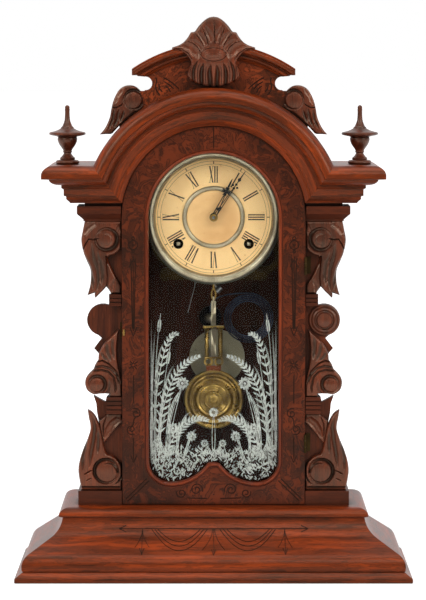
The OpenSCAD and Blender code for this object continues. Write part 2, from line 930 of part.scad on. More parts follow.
// gear outline: n teeth, pitch radius rp, tip and root heights, tooth share
function teeth(n, rp, tip, root, k) =
  [for (i = [0:n - 1], j = [0:3])
    let (a = 360 * i / n + [-0.27, -0.1, 0.1, 0.27][j] * k * 360 / n,
      r = (j == 0 || j == 3) ? rp - root : rp + tip)
    [r * cos(a), r * sin(a)]];
module wheel(n, m, y0, y1, turn, k) {
  rp = n * m / 2;
  fwd(0, y1, 0)
    rotate([0, 0, turn])
      linear_extrude(height = y1 - y0)
        difference() {
          polygon(teeth(n, rp, 0.85 * m, 1.1 * m, k));
          if (rp > 12)
            for (i = [0:3])
              rotate([0, 0, 90 * i + 45])
                translate([rp * 0.56, 0])
                  circle(r = rp * 0.26, $fn = 40);
        }
}
module lantern_pinion(n, m, y0, y1, turn) {
  rp = n * m / 2;
  for (i = [0:n - 1])
    fwd(rp * cos(360 * i / n + turn), y1, rp * sin(360 * i / n + turn))
      cylinder(r = 0.42 * m, h = y1 - y0, $fn = 20);
  for (y = [y0, y1 - 0.8])
    fwd(0, y + 0.8, 0)
      cylinder(r = rp + 0.9 * m, h = 0.8, $fn = 40);
}
module rod_y(r, y0, y1) {
  fwd(0, y1, 0)
    cylinder(r = r, h = y1 - y0, $fn = 32);
}
function aim(x0, z0, x1, z1) = atan2(z1 - z0, x1 - x0);
// turn that puts a gap of an n-tooth wheel on the line at angle a
function gap_turn(n, a) = a + 180 / n - floor((a + 180 / n) * n / 360) * 360 / n;

module minute_hand() {
  a = 34.5;
  color("#23232b") {
    translate([0, 0, axis_z]) {
      rod_y(1.7, -0.5, plate_r + 3);
      rod_y(3.6, -1.6, 0.6);
      rotate([0, a, 0]) {
        slab(0.6, 1.6)
          polygon([[-1.4, 0], [-0.9, 12], [-2, 16], [-0.9, 20], [-0.8, 36], [-4.2, 41], [-0.8, 45.5],
            [-0.4, minute_len], [0.4, minute_len], [0.8, 45.5], [4.2, 41], [0.8, 36], [0.9, 20],
            [2, 16], [0.9, 12], [1.4, 0]]);
        rod_y(3.2, 0.6, 1.6);
      }
    }
  }
  color("#b08d4a")
    translate([0, 0, axis_z]) {
      wheel(12, 0.5, 27.6, 29.6, mw_a % 30, 0.8);
      rod_y(2, 6, 29.6);
      wheel(centre_teeth, train_m, 57.2, 58.8, gap_turn(centre_teeth, third_aim), 0.8);
      rod_y(4, 55.4, 57.2);
      wheel(main_pin, main_m, 36.6, 40, aim_main, 0.8);
    }
}
third_aim = aim(0, 0, third_dx, third_dz);
esc_aim = aim(third_dx, third_dz, 0, esc_rise);
fly_aim = aim(second_x, second_z, fly_x, fly_z);
aim_main = aim(0, 0, wind_x, -wind_drop);
module hour_hand() {
  a = 26;
  color("#23232b")
    translate([0, 0, axis_z]) {
      rotate([0, a, 0])
        slab(2.8, 3.8)
          polygon([[-1.7, 3.6], [-1.1, 9], [-2.4, 12.5], [-1.1, 16], [-1, 24], [-5, 29.5],
            [-1, 33.5], [-0.5, hour_len], [0.5, hour_len], [1, 33.5], [5, 29.5], [1, 24],
            [1.1, 16], [2.4, 12.5], [1.1, 9], [1.7, 3.6]]);
    }
  color("#b08d4a")
    translate([0, 0, axis_z])
      difference() {
        union() {
          rod_y(4, 2.8, 3.8);
          rod_y(3.1, 3.8, 26.4);
          wheel(40, 0.48, 24.6, 26.4, gap_turn(40, mw_a), 0.8);
        }
        rod_y(2.3, 0, 40);
      }
}
mw_a = 200;
mw_x = 12 * cos(mw_a);
mw_z = 12 * sin(mw_a);
module minute_wheel() {
  color("#b08d4a")
    translate([mw_x, 0, axis_z + mw_z]) {
      wheel(36, 0.5, 27.8, 29.2, gap_turn(36, mw_a + 180), 0.8);
      wheel(10, 0.48, 24.4, 27.8, (mw_a + 180) % 36, 0.8);
      rod_y(1, 24, plate_f);
    }
}
module third_wheel() {
  color("#b08d4a")
    translate([third_dx, 0, axis_z + third_dz]) {
      lantern_pinion(lantern, train_m, 54.8, 60.4, third_aim + 180);
      wheel(third_teeth, train_m, 33.4, 34.8, gap_turn(third_teeth, esc_aim), 0.8);
      rod_y(1, plate_f - 0.6, plate_r + 2.2);
      rod_y(1.7, 34.8, 54.8);
    }
}
module escape_wheel() {
  n = escape_teeth;
  color("#b08d4a")
    translate([0, 0, esc_z]) {
      fwd(0, 26.4, 0)
        linear_extrude(height = 1.2)
          polygon([for (i = [0:n - 1], j = [0:1])
            [(j == 0 ? 13.4 : 11.8) * cos(360 * (i + j * 0.82) / n),
            (j == 0 ? 13.4 : 11.8) * sin(360 * (i + j * 0.82) / n)]]);
      rod_y(1, 24.6, plate_r + 2.2);
      lantern_pinion(lantern, train_m, 32, 36.4, esc_aim + 180);
      rod_y(1.7, 36.4, 60);
    }
}
module verge() {
  color("#8d8f92")
    translate([0, 0, verge_z]) {
      difference() {
        slab(24.8, 26.8) {
          polygon([[-12.6, -6.6], [-10.8, -8.2], [-5.5, -3.2], [5.5, -3.2], [10.8, -8.2], [12.6, -6.6],
            [6.5, 1.8], [-6.5, 1.8]]);
        }
        rod_y(0.95, 10, 40);
      }
      // crutch: down one side of the hand arbor, with a fork round the rod
      slab(23, 24.2)
        polygon([[-1.2, -3], [-1.2, 1.4], [1.2, 1.4], [14.1, -12.4], [14.1, -73], [-2.3, -73],
          [-2.3, -71.4], [12.9, -71.4], [12.9, -13], [0.6, -3]]);
      slab(24.2, 24.8)
        polygon([[-1.2, -3], [-1.2, 1.4], [1.2, 1.4], [1.2, -3]]);
      for (s = [-1, 1])
        slab(18, 23)
          polygon([[s * 1.1, -73], [s * 1.1, -71.4], [s * 2.3, -71.4], [s * 2.3, -73]]);
    }
}
module ring_xz(x, z, r, w, y0, y1) {
  slab(y0, y1)
    translate([x, z])
      difference() {
        circle(r = r, $fn = 40);
        circle(r = r - w, $fn = 40);
      }
}
pend_y = 20;
hook_z = axis_z - 78;
module pendulum_rod() {
  color("#b9a06a") {
    // spring strip held in the slit post, and the block below it
    translate([-1.5, pend_y - 0.3, pivot_z - 10])
      cube([3, 0.6, post_z - pivot_z + 9.6]);
    translate([-2.4, pend_y - 1.2, pivot_z - 14])
      cube([4.8, 2.4, 5]);
    // rod, opened into a loop that clears the hand arbor
    slab(pend_y - 0.7, pend_y + 0.7)
      difference() {
        polygon(full([[0, hook_z + 5], [0.8, hook_z + 5], [0.8, axis_z - 22], [10.4, axis_z - 11],
          [10.4, axis_z + 11], [0.8, axis_z + 22], [0.8, pivot_z - 13], [0, pivot_z - 13]]));
        polygon(full([[0, axis_z - 20.8], [9, axis_z - 10.4], [9, axis_z + 10.4],
          [0, axis_z + 20.8]]));
      }
    slab(pend_y - 0.8, pend_y + 0.8)
      difference() {
        polygon(full(oval(0, hook_z, 2.7, 6.2, -90, 90, 12)));
        polygon(full(oval(0, hook_z, 1.3, 4.6, -90, 90, 12)));
      }
  }
}
bob_z = pivot_z - bob_drop;
tube_z = bob_z + 41.5;
module pendulum_frame() {
  color("#c9a24a") {
    slab(pend_y - 0.6, pend_y + 0.6)
      translate([-2.4, bob_z + 41])
        square([4.8, hook_z - bob_z - 47.6]);
    // hook that hangs in the eye of the rod
    translate([-0.8, pend_y - 1.9, hook_z - 9.5])
      cube([1.6, 1.6, 2.6]);
    translate([-0.8, pend_y - 1.9, hook_z - 9.5])
      cube([1.6, 0.9, 7.2]);
    translate([-0.8, pend_y - 1.9, hook_z - 3.4])
      cube([1.6, 3, 1.1]);
    for (s = [-1, 1]) {
      translate([s * 6.8, pend_y, bob_z + 42])
        cylinder(r = 2.3, h = 29, $fn = 32);
      ring_xz(s * 5.2, bob_z + 37.6, 4.6, 2, pend_y - 1.4, pend_y + 1.4);
    }
    translate([-10.5, pend_y - 2.6, bob_z + 71])
      cube([21, 5.2, 2.6]);
    translate([-9.5, pend_y - 2.4, bob_z + 41])
      cube([19, 4.8, 1.6]);
    translate([-7.4, pend_y - 2.4, bob_z + 28.5])
      cube([14.8, 4.8, 5]);
  }
}
module pendulum_bob() {
  color("#d4af4e")
    difference() {
      fwd(0, pend_y + 3, bob_z)
        rotate_extrude($fn = 96)
          polygon([[0, 0], [bob_r - 2, 0], [bob_r, 1.4], [bob_r, 4.4], [bob_r - 1.6, 5.8],
            [bob_r - 4, 5], [bob_r - 7, 5.8], [bob_r - 8.4, 4], [bob_r - 10.5, 4], [bob_r - 12, 5.6],
            [9, 6.6], [8, 5.6], [4.5, 5.6], [4, 8], [0, 8.6]]);
      translate([-7.5, pend_y - 2.5, bob_z + 28.4])
        cube([15, 5, 6]);
    }
}
module winding(n, m, turn) {
  wheel(n, m, 37.4, 39.2, turn, 0.8);
  rod_y(3.2, plate_f - 1, plate_r + 2.2);
  rod_y(7.6, 39.2, 56.5);
  fwd(0, plate_f - 1, 0)
    rotate([0, 0, 45])
      cylinder(r = 2.7, h = plate_f - 9.5, $fn = 4);
  rod_y(9, 34.6, 35.8);
}
main_turn = gap_turn(main_n, 180 + aim_main);
module time_wheel() {
  color("#b08d4a")
    translate([w_x, 0, w_z])
      winding(main_n, main_m, main_turn);
}
strike_aim = aim(-w_x, w_z, second_x, second_z);
module strike_wheel() {
  color("#b08d4a")
    translate([-w_x, 0, w_z])
      winding(strike_n, strike_m, gap_turn(strike_n, strike_aim));
}
module strike_second() {
  color("#b08d4a")
    translate([second_x, 0, second_z]) {
      lantern_pinion(strike_pin, strike_m, 36.4, 40.2, strike_aim + 180);
      wheel(second_n, train_m, 33.4, 34.8, gap_turn(second_n, fly_aim), 0.8);
      rod_y(1, plate_f - 0.6, plate_r + 2.2);
      rod_y(1.7, 40.2, 60);
    }
}
module fly() {
  color("#b08d4a")
    translate([fly_x, 0, fly_z]) {
      lantern_pinion(lantern, train_m, 32, 36.4, fly_aim + 180);
      rod_y(1, plate_f - 0.6, plate_r + 2.2);
      rod_y(1.7, 36.4, 60);
      translate([-9, 41, -0.3])
        cube([18, 13, 0.6]);
    }
}
// ---------- gong and hammer ----------
gong_x = 35;
gong_z = axis_z - 105.6;
gong_y = 58;
stud_x = -3.4;
gong_inner = gong_r - 2.04 * gong_turns;
gong_n = 24;
lead_n = 10;
turns_p = [for (i = [0:gong_n * gong_turns])
  let (a = 270 + 360 * i / gong_n - 360 * gong_turns + 180,
    r = gong_inner + (gong_r - gong_inner) * i / (gong_n * gong_turns))
  [gong_x + r * cos(a), gong_y, gong_z + r * sin(a)]];
last_p = turns_p[len(turns_p) - 1];
stud_top = gong_z + 6.4;
lead_p = [for (i = [1:lead_n])
  let (t = i / lead_n, u = 1 - t)
  [u * u * last_p[0] + 2 * u * t * stud_x + t * t * stud_x, gong_y,
  u * u * last_p[2] + 2 * u * t * last_p[2] + t * t * (stud_top + 4)]];
gong_path = concat(turns_p, lead_p, [[stud_x, gong_y, stud_top]]);
function unit(v) = v / norm(v);
function dir_at(p, i) = unit(p[min(i + 1, len(p) - 1)] - p[max(i - 1, 0)]);
function tube_pts(p, r, n) =
  [for (i = [0:len(p) - 1])
    let (d = dir_at(p, i), s = [-d[2], 0, d[0]])
    for (j = [0:n - 1])
      p[i] + r * cos(360 * j / n + 30) * s + r * sin(360 * j / n + 30) * [0, 1, 0]];
function tube_faces(m, n) = concat(
  [for (i = [0:m - 2], j = [0:n - 1]) [i * n + j, i * n + (j + 1) % n, (i + 1) * n + j]],
  [for (i = [0:m - 2], j = [0:n - 1])
    [i * n + (j + 1) % n, (i + 1) * n + (j + 1) % n, (i + 1) * n + j]],
  [for (j = [1:n - 2]) [0, j + 1, j]],
  [for (j = [1:n - 2]) [(m - 1) * n, (m - 1) * n + j, (m - 1) * n + j + 1]]);
gaps = [for (i = [0:2:len(gong_path) - 20], j = [i + 18:len(gong_path) - 1])
  norm(gong_path[i] - gong_path[j]) - gong_d];
echo(gong_least_gap = min(gaps));
module gong() {
  color("#3d4a5f")
    polyhedron(tube_pts(gong_path, gong_d / 2, 6), tube_faces(len(gong_path), 6), convexity = 10);
}
head_dx = 21;
head_dz = -22.4;
module gong_stand() {
  color("#9aa0a3") {
    fwd(stud_x, back_f, gong_z)
      cylinder(r = 6.4, h = back_f - gong_y + 2.5, $fn = 48);
    fwd(stud_x, gong_y - 2.5, gong_z)
      cylinder(r = 2.6, h = 1.6, $fn = 32);
    fwd(stud_x, back_f, gong_z)
      cylinder(r = 11, h = 3, $fn = 48);
  }
}
module back_label() {
  color("#9b9a94")
    fwd(3.5, back_f, axis_z - 146.7)
      cylinder(r = 28.2, h = 0.4, $fn = 64);
}
module hammer() {
  color("#8d8f92") {
    translate([ham_x, 0, ham_z]) {
      rod_y(1.2, plate_f - 0.6, plate_r + 2.2);
      slab(56.8, 58.4)
        polygon([[-0.8, 1.4], [0.9, 1.4], [head_dx + 0.9, head_dz], [head_dx - 0.9, head_dz]]);
    }
    translate([ham_x + head_dx, gong_y, ham_z + head_dz])
      rotate([0, 45, 0])
        cylinder(r = 3.2, h = 6.4, center = true, $fn = 32);
  }
}

skirt();
ogee_front();
ogee_left();
ogee_right();
base_cap();
base_back();
plinth_blocks();
case_side_left();
case_side_right();
case_floor();
backboard();
hood();
face_frame();
arch_moulding();
cornice_left();
cornice_right();
capitals();
fret_left();
fret_right();
upper_scroll_left();
upper_scroll_right();
leaf_scroll_left();
leaf_scroll_right();
lower_scroll_left();
lower_scroll_right();
reeded_blocks();
roundel();
crest_board();
crest_mouldings();
crest_shell();
wing_scrolls();
finial_left();
finial_right();
door_frame();
door_bead();
door_glass();
door_hinges();
door_catch();
case_hinges();
dial_pan();
dial_bezel();
movement_plates();
mainsprings();
gong();
gong_stand();
back_label();
minute_hand();
hour_hand();
minute_wheel();
third_wheel();
escape_wheel();
verge();
pendulum_rod();
pendulum_frame();
pendulum_bob();
time_wheel();
strike_wheel();
strike_second();
fly();
hammer();
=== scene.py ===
# %% [markdown]
# A Victorian walnut shelf clock. The solids, their joints and their places come
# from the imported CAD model, which this lesson loads first and never changes.
# Everything after that is looks: wood with grain that follows each board, carved
# and turned pieces, a paper dial, a stencilled glass and the brass movement.
# Blender works in metres, but a clockmaker thinks in millimetres, so lengths are
# written in millimetres and turned into metres as a mesh is made.

import math
from contextlib import contextmanager

import bmesh
import bpy
import numpy as np
from mathutils import Matrix, Vector, geometry


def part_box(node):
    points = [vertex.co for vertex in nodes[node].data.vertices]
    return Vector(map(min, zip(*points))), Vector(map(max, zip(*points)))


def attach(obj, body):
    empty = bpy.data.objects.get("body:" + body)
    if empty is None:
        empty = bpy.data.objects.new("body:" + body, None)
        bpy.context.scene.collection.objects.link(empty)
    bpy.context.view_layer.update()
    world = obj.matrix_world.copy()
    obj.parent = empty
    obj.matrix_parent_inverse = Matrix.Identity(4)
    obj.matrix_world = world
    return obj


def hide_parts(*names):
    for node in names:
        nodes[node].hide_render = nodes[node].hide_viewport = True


MM = 0.001
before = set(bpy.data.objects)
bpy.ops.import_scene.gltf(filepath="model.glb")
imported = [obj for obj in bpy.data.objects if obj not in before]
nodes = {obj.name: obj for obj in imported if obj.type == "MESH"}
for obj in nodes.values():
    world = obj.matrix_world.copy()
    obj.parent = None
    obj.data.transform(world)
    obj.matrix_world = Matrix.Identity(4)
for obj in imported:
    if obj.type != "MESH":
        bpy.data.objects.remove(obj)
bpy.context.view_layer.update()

# %% [markdown]
# Places are read from the CAD nodes' boxes rather than typed again, so that a
# piece made here sits on the node that carries it. A box gives the lowest and
# highest corner of a node in its rest place.

# %% Places read from the CAD model
def box(node):
    """Lowest and highest corner of a CAD node, in millimetres."""
    low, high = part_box(node)
    return np.array(low) / MM, np.array(high) / MM


skirt_hi = box("skirt")[1]
door_lo, door_hi = box("door_frame")
bezel_lo, bezel_hi = box("dial_bezel")
base_half = skirt_hi[0]
dial_z = (bezel_lo[2] + bezel_hi[2]) / 2
dial_face = bezel_hi[1]
door_face = door_lo[1]
top_z = box("crest_shell")[1][2]
print("dial centre at z %.1f mm, dial paper at y %.1f mm" % (dial_z, dial_face))

# %% [markdown]
# Node trees are written here as sums. `Wire` is a number that travels through a
# tree: adding or multiplying it puts down a Math node, so that a rule such as
# `reach * slide + corner` reads the same on paper and in the tree. It serves both
# Geometry Nodes, which shape the mouldings, and shader groups, which grain the
# wood.

# %% Numbers that travel through a node tree
class Wire:
    """A number in a node tree. Arithmetic on it adds Math nodes."""

    def __init__(self, tree, socket):
        self.tree, self.socket = tree, socket

    def math(self, operation, *others):
        node = self.tree.nodes.new("ShaderNodeMath")
        node.operation = operation
        for place, value in enumerate((self, *others)):
            plug(self.tree, node.inputs[place], value)
        return Wire(self.tree, node.outputs[0])

    def __add__(self, other):
        return self.math("ADD", other)

    def __sub__(self, other):
        return self.math("SUBTRACT", other)

    def __mul__(self, other):
        return self.math("MULTIPLY", other)

    def __truediv__(self, other):
        return self.math("DIVIDE", other)

    def clamp(self):
        return self.math("MAXIMUM", 0.0).math("MINIMUM", 1.0)

    def blend(self, start, end):
        """start where this is 0, end where it is 1."""
        return Wire(self.tree, put(self.tree, "ShaderNodeMapRange", {"clamp": False}, Value=self,
                                   To_Min=start, To_Max=end).outputs["Result"])

    def ramp(self, low, high):
        """0 below low, 1 above high, and a soft rise between."""
        return Wire(self.tree, put(self.tree, "ShaderNodeMapRange", {"interpolation_type": "SMOOTHSTEP"},
                                   Value=self, From_Min=low, From_Max=high).outputs["Result"])


print("wires ready")

# %% [markdown]
# A few short helpers lay down the nodes. `put` adds a node and fills its inputs by
# name, so that a tree reads from top to bottom like the steps of a job. A group
# gets named inputs, because the same tree then serves several pieces that differ
# in a size or a colour.

# %% Helpers that lay down nodes
def plug(tree, entry, value):
    """Joins a wire or socket to an input, or writes a plain value into it."""
    if isinstance(value, Wire):
        value = value.socket
    if isinstance(value, bpy.types.NodeSocket):
        tree.links.new(value, entry)
    else:
        entry.default_value = value


def fill(tree, node, **entries):
    """Plugs a node's inputs by name, or by number after an underscore."""
    for name, value in entries.items():
        key = int(name[1:]) if name[0] == "_" else name.replace("_", " ")
        plug(tree, node.inputs[key], value)
    return node


def put(tree, kind, settings=None, **entries):
    """Adds a node, sets its properties, and fills its inputs."""
    node = tree.nodes.new(kind)
    for name, value in (settings or {}).items():
        setattr(node, name, value)
    return fill(tree, node, **entries)


def split(tree, vector):
    """The x, y and z of a vector, as wires."""
    node = put(tree, "ShaderNodeSeparateXYZ", _0=vector)
    return [Wire(tree, out) for out in node.outputs]


def joined(tree, x=0.0, y=0.0, z=0.0):
    return put(tree, "ShaderNodeCombineXYZ", X=x, Y=y, Z=z).outputs[0]


def object_place(tree):
    return put(tree, "ShaderNodeTexCoord").outputs["Object"]


def noise(tree, place, scale=1.0, detail=2.0, **more):
    """Soft random clouds between 0 and 1, as a wire."""
    return Wire(tree, put(tree, "ShaderNodeTexNoise", Vector=place, Scale=scale, Detail=detail,
                          **more).outputs["Fac"])


def mixed(tree, factor, first, second, kind="MIX"):
    """The first colour where the factor is 0, the second where it is 1."""
    return put(tree, "ShaderNodeMix", {"data_type": "RGBA", "blend_type": kind}, Factor=factor,
               _6=first, _7=second).outputs[2]


def new_material(name):
    made = bpy.data.materials.new(name)
    made.use_nodes = True
    return made, made.node_tree, made.node_tree.nodes["Principled BSDF"]


SOCKETS = {"number": "NodeSocketFloat", "whole": "NodeSocketInt", "vector": "NodeSocketVector",
           "colour": "NodeSocketColor", "shape": "NodeSocketGeometry", "finish": "NodeSocketMaterial"}


def new_group(name, kind, entries, results):
    """A node group with named inputs (name, socket kind, default) and outputs (name, kind)."""
    group = bpy.data.node_groups.new(name, kind)
    for label, socket, default in entries:
        made = group.interface.new_socket(label, in_out="INPUT", socket_type=SOCKETS[socket])
        if default is not None:
            made.default_value = default
    for label, socket in results:
        group.interface.new_socket(label, in_out="OUTPUT", socket_type=SOCKETS[socket])
    given = group.nodes.new("NodeGroupInput")
    gives = group.nodes.new("NodeGroupOutput")
    return group, given.outputs, gives.inputs


def hand_over(group, given, result, shape):
    """The end of every shape tree: real geometry that carries its finish."""
    real = put(group, "GeometryNodeRealizeInstances", Geometry=shape).outputs[0]
    plug(group, result, put(group, "GeometryNodeSetMaterial", Geometry=real,
                            Material=given["Finish"]).outputs[0])
    return group


print("tools for node trees ready")

# %% [markdown]
# The camera stands where the photographer stood: a long lens a good two and a
# half metres away, a little above the middle of the clock and tipped down by
# about five degrees. A long lens keeps the uprights upright.

# %% Camera
view_tilt = math.radians(5.4)
view_distance = 2.6
aim = Vector((0, -0.016, 0.2708))
camera_data = bpy.data.cameras.new("photo_camera")
camera_data.sensor_fit = "VERTICAL"
camera_data.sensor_height = 24
camera_data.lens = 105.6
camera_data.shift_x = -0.001
camera_data.clip_end = 50
camera = bpy.data.objects.new("photo_camera", camera_data)
camera.location = aim + view_distance * Vector((0, -math.cos(view_tilt), math.sin(view_tilt)))
camera.rotation_euler = (math.pi / 2 - view_tilt, 0, 0)
bpy.context.scene.collection.objects.link(camera)
bpy.context.scene.camera = camera
print("camera at", [round(c, 3) for c in camera.location])

# %% [markdown]
# The studio is a white sweep with soft boxes. Lamps stay at a plain level, where
# a colour renders about as it is written. What the camera, a mirror or a pane of
# glass sees of the background is white through the Light Path node, so the white
# page behind the clock needs no extra light on the wood.

# %% Studio
def area_lamp(name, place, size, watts):
    lamp = bpy.data.lights.new(name, "AREA")
    lamp.shape = "RECTANGLE"
    lamp.size, lamp.size_y = size
    lamp.energy = watts
    holder = bpy.data.objects.new(name, lamp)
    holder.location = place
    holder.rotation_euler = (Vector((0, 0, 0.28)) - Vector(place)).to_track_quat("-Z", "Y").to_euler()
    bpy.context.scene.collection.objects.link(holder)


area_lamp("soft_box_left", (-1.5, -1.7, 1.5), (1.0, 1.4), 32)
area_lamp("soft_box_right", (1.7, -1.5, 1.3), (0.9, 1.3), 26)
area_lamp("top_light", (0.0, -0.3, 2.2), (1.6, 1.2), 16)
area_lamp("front_fill", (0.5, -2.5, 2.3), (1.2, 1.0), 22)


def page_white(tree, lit, source, dim, full):
    """Strength 1 for camera, glossy and glass rays, and `lit` for light that falls on things.

    The page stands behind and under the clock. The room in front of it is dimmer, so a
    mirrored ray fades between the depths `dim` and `full`. A ray that has already bounced
    off wood or paper counts as light, even where it then passes the glass, or the white
    page would light the inside of the case."""
    path = put(tree, "ShaderNodeLightPath").outputs
    depth = split(tree, put(tree, "ShaderNodeTexCoord").outputs[source])[1]
    fade = put(tree, "ShaderNodeMapRange", Value=depth, From_Min=dim, From_Max=full, To_Min=0.12)
    mirrored = Wire(tree, path["Is Glossy Ray"]).math("MAXIMUM", path["Is Transmission Ray"])
    seen = Wire(tree, path["Is Camera Ray"]).math("MAXIMUM", mirrored * fade.outputs["Result"])
    seen = seen * Wire(tree, path["Diffuse Depth"]).math("LESS_THAN", 0.5)
    return Wire(tree, put(tree, "ShaderNodeMapRange", Value=seen, To_Min=lit).outputs["Result"])


world = bpy.data.worlds.new("studio")
bpy.context.scene.world = world
world.use_nodes = True
sky_tree = world.node_tree
fill(sky_tree, sky_tree.nodes["Background"], Color=(1, 1, 1, 1),
     Strength=page_white(sky_tree, 0.25, "Generated", -0.5, 0.2))
bpy.context.scene.view_settings.view_transform = "Standard"

floor_mesh = bpy.data.meshes.new("floor")
floor_mesh.from_pydata([(-30, -30, 0), (30, -30, 0), (30, 30, 0), (-30, 30, 0)], [], [(0, 1, 2, 3)])
floor = bpy.data.objects.new("floor", floor_mesh)
bpy.context.scene.collection.objects.link(floor)
page, page_tree, page_shader = new_material("white_page")
# near the clock the floor glows little, so that it keeps the clock's shadow
floor_reach = put(page_tree, "ShaderNodeVectorMath", {"operation": "LENGTH"}, _0=object_place(page_tree))
floor_fade = put(page_tree, "ShaderNodeMapRange", {"interpolation_type": "SMOOTHSTEP"},
                 Value=floor_reach.outputs["Value"], From_Min=0.3, From_Max=1.3, To_Min=0.45, To_Max=0.95)
fill(page_tree, page_shader, Base_Color=(0.85, 0.85, 0.85, 1), Roughness=0.9, Specular_IOR_Level=0.1,
     Emission_Color=(1, 1, 1, 1),
     Emission_Strength=page_white(page_tree, 0.0, "Object", -1.4, -0.5) * floor_fade.outputs["Result"])
floor_mesh.materials.append(page)
print("studio: 4 lamps, white sweep")

# %% [markdown]
# Old walnut is not one brown. Under the shellac it has long growth bands, short
# dark pores that run with the grain, and slow patches of red and umber. One
# shader group makes all three from a position whose x runs along the grain, so
# the same group serves a stile, a plinth and a bent moulding. It puts out a
# colour and a height, and the shader itself stays in each material.

# %% Shader group: walnut grain
def walnut_grain_group():
    group, given, gives = new_group(
        "walnut_grain", "ShaderNodeTree",
        [("Place", "vector", None), ("Deep", "colour", (0.05, 0.016, 0.008, 1)),
         ("Warm", "colour", (0.16, 0.05, 0.022, 1)), ("Band Width", "number", 0.009),
         ("Figure", "number", 0.5)], [("Colour", "colour"), ("Pores", "number"), ("Height", "number")])
    along, across, through = [part / given["Band Width"] for part in split(group, given["Place"])]

    def stretched(length, side):
        return joined(group, along * length, across * side, through * side)

    wander = noise(group, stretched(0.10, 0.35), 1.0, 3.0, Roughness=0.55)
    rings = noise(group, joined(group, along * 0.05, across + wander * 3.0, through), 1.0, 5.0, Roughness=0.6)
    patches = noise(group, stretched(0.06, 0.13))
    fibre = noise(group, stretched(0.35, 9.0))
    tone = (rings.ramp(0.30, 0.70) * given["Figure"]
            + patches.ramp(0.28, 0.72) * (Wire(group, given["Figure"]) * -1.0 + 1.0))
    # a few fine dark streaks, where the band colour crosses two levels
    streaks = (rings - 0.54).math("ABSOLUTE").ramp(0.0, 0.03)
    streaks = streaks * (rings - 0.43).math("ABSOLUTE").ramp(0.0, 0.022)
    tone = ((tone + (fibre - 0.5) * 0.6) * (streaks * 0.45 + 0.55)).clamp()
    pores = noise(group, stretched(0.8, 22.0), 1.0, 1.0).ramp(0.60, 0.74)
    fill(group, gives["Colour"].node, Pores=pores, Height=fibre * 0.4 + rings * 0.4 - pores * 0.5,
         Colour=mixed(group, pores * 0.55, mixed(group, tone, given["Deep"], given["Warm"]),
                      (0.30, 0.22, 0.2, 1), "MULTIPLY"))
    return group


walnut_grain = walnut_grain_group()
print("walnut grain group:", len(walnut_grain.nodes), "nodes")

# %% [markdown]
# Burl veneer comes from a knotty root: small eyes, and dark veins that curl
# round them. A texture of cells seeds the eyes and a strongly bent noise draws
# the veins. The door frame and the crest panel carry it.

# %% Shader group: burl figure
def burl_figure_group():
    group, given, gives = new_group(
        "burl_figure", "ShaderNodeTree",
        [("Place", "vector", None), ("Deep", "colour", (0.03, 0.011, 0.007, 1)),
         ("Warm", "colour", (0.14, 0.045, 0.022, 1)), ("Scale", "number", 40.0)],
        [("Colour", "colour"), ("Veins", "number"), ("Height", "number")])
    scale = Wire(group, given["Scale"])
    bend = put(group, "ShaderNodeTexNoise", Vector=given["Place"], Scale=scale * 0.55, Detail=2.0)
    push = put(group, "ShaderNodeVectorMath", {"operation": "MULTIPLY_ADD"}, _0=bend.outputs["Color"],
               _1=(0.045, 0.045, 0.045), _2=given["Place"]).outputs[0]
    curls = noise(group, push, scale * 1.6, 4.0, Roughness=0.62, Distortion=2.2)
    clouds = noise(group, push, scale * 0.5)
    veins = (curls - 0.5).math("ABSOLUTE").ramp(0.0, 0.055)
    eyes = put(group, "ShaderNodeTexVoronoi", Vector=push, Scale=scale * 2.2).outputs["Distance"]
    tone = clouds.ramp(0.30, 0.72) * 0.55 + curls.ramp(0.25, 0.8) * 0.5
    tone = (tone * (veins * 0.75 + 0.25) * (Wire(group, eyes).ramp(0.10, 0.26) * 0.4 + 0.6) * 1.25).clamp()
    fill(group, gives["Colour"].node, Colour=mixed(group, tone, given["Deep"], given["Warm"]),
         Veins=veins, Height=veins * 0.5 + curls * 0.3)
    return group


burl_figure = burl_figure_group()
print("burl group:", len(burl_figure.nodes), "nodes")

# %% [markdown]
# Colour is darkened where two surfaces meet: partly grime, partly painted shade
# that stands in for the shadow in corners, coves and hollows. Ambient Occlusion
# finds the corners from the shape itself, so that one group can dress any piece.
# Carved pieces also bring their own `carving` attribute, which says how dark each
# cut is painted.

# %% Shader group: grime and painted shade in the corners
def grime_and_shade_group():
    group, given, gives = new_group(
        "grime_and_shade", "ShaderNodeTree",
        [("Colour", "colour", (0.2, 0.08, 0.04, 1)), ("Reach", "number", 0.006),
         ("Shade Grime", "colour", (0.012, 0.007, 0.005, 1)), ("Strength", "number", 0.6),
         ("Patchiness", "number", 0.35)], [("Colour", "colour"), ("Mask", "number")])
    corners = put(group, "ShaderNodeAmbientOcclusion", {"samples": 6, "only_local": False},
                  Distance=given["Reach"]).outputs["AO"]
    cloud = noise(group, object_place(group), 55.0, 3.0)
    # painted shade: darker where Ambient Occlusion finds corners and coves, with grime in the same places
    mask = (Wire(group, corners) * -1.0 + 1.0).ramp(0.12, 0.85) * given["Strength"]
    mask = (mask * ((cloud - 0.5) * given["Patchiness"] * 2.0 + 1.0)).clamp()
    fill(group, gives["Colour"].node, Colour=mixed(group, mask, given["Colour"], given["Shade Grime"]), Mask=mask)
    return group


grime_and_shade = grime_and_shade_group()
print("dirt group:", len(grime_and_shade.nodes), "nodes")


# %% [markdown]
# Each finish is a material of its own with a Principled shader. Wood is shellac
# over grain: a smooth coat over a slightly rough board. The grain's position
# comes either from Object coordinates, turned by a Mapping node so that x runs
# along the board, or from the `grain_at` attribute that the bent mouldings and
# the carvings carry.

# %% Wood finishes
GRAIN_TURN = {"across": (0, 0, 0), "upright": (0, math.pi / 2, 0), "back": (0, 0, math.pi / 2)}


def srgb(red, green, blue):
    """A colour seen on screen, 0 to 255, as the linear colour that Blender mixes with."""
    def linear(value):
        value /= 255
        return value / 12.92 if value <= 0.04045 else ((value + 0.055) / 1.055) ** 2.4
    return (linear(red), linear(green), linear(blue), 1)


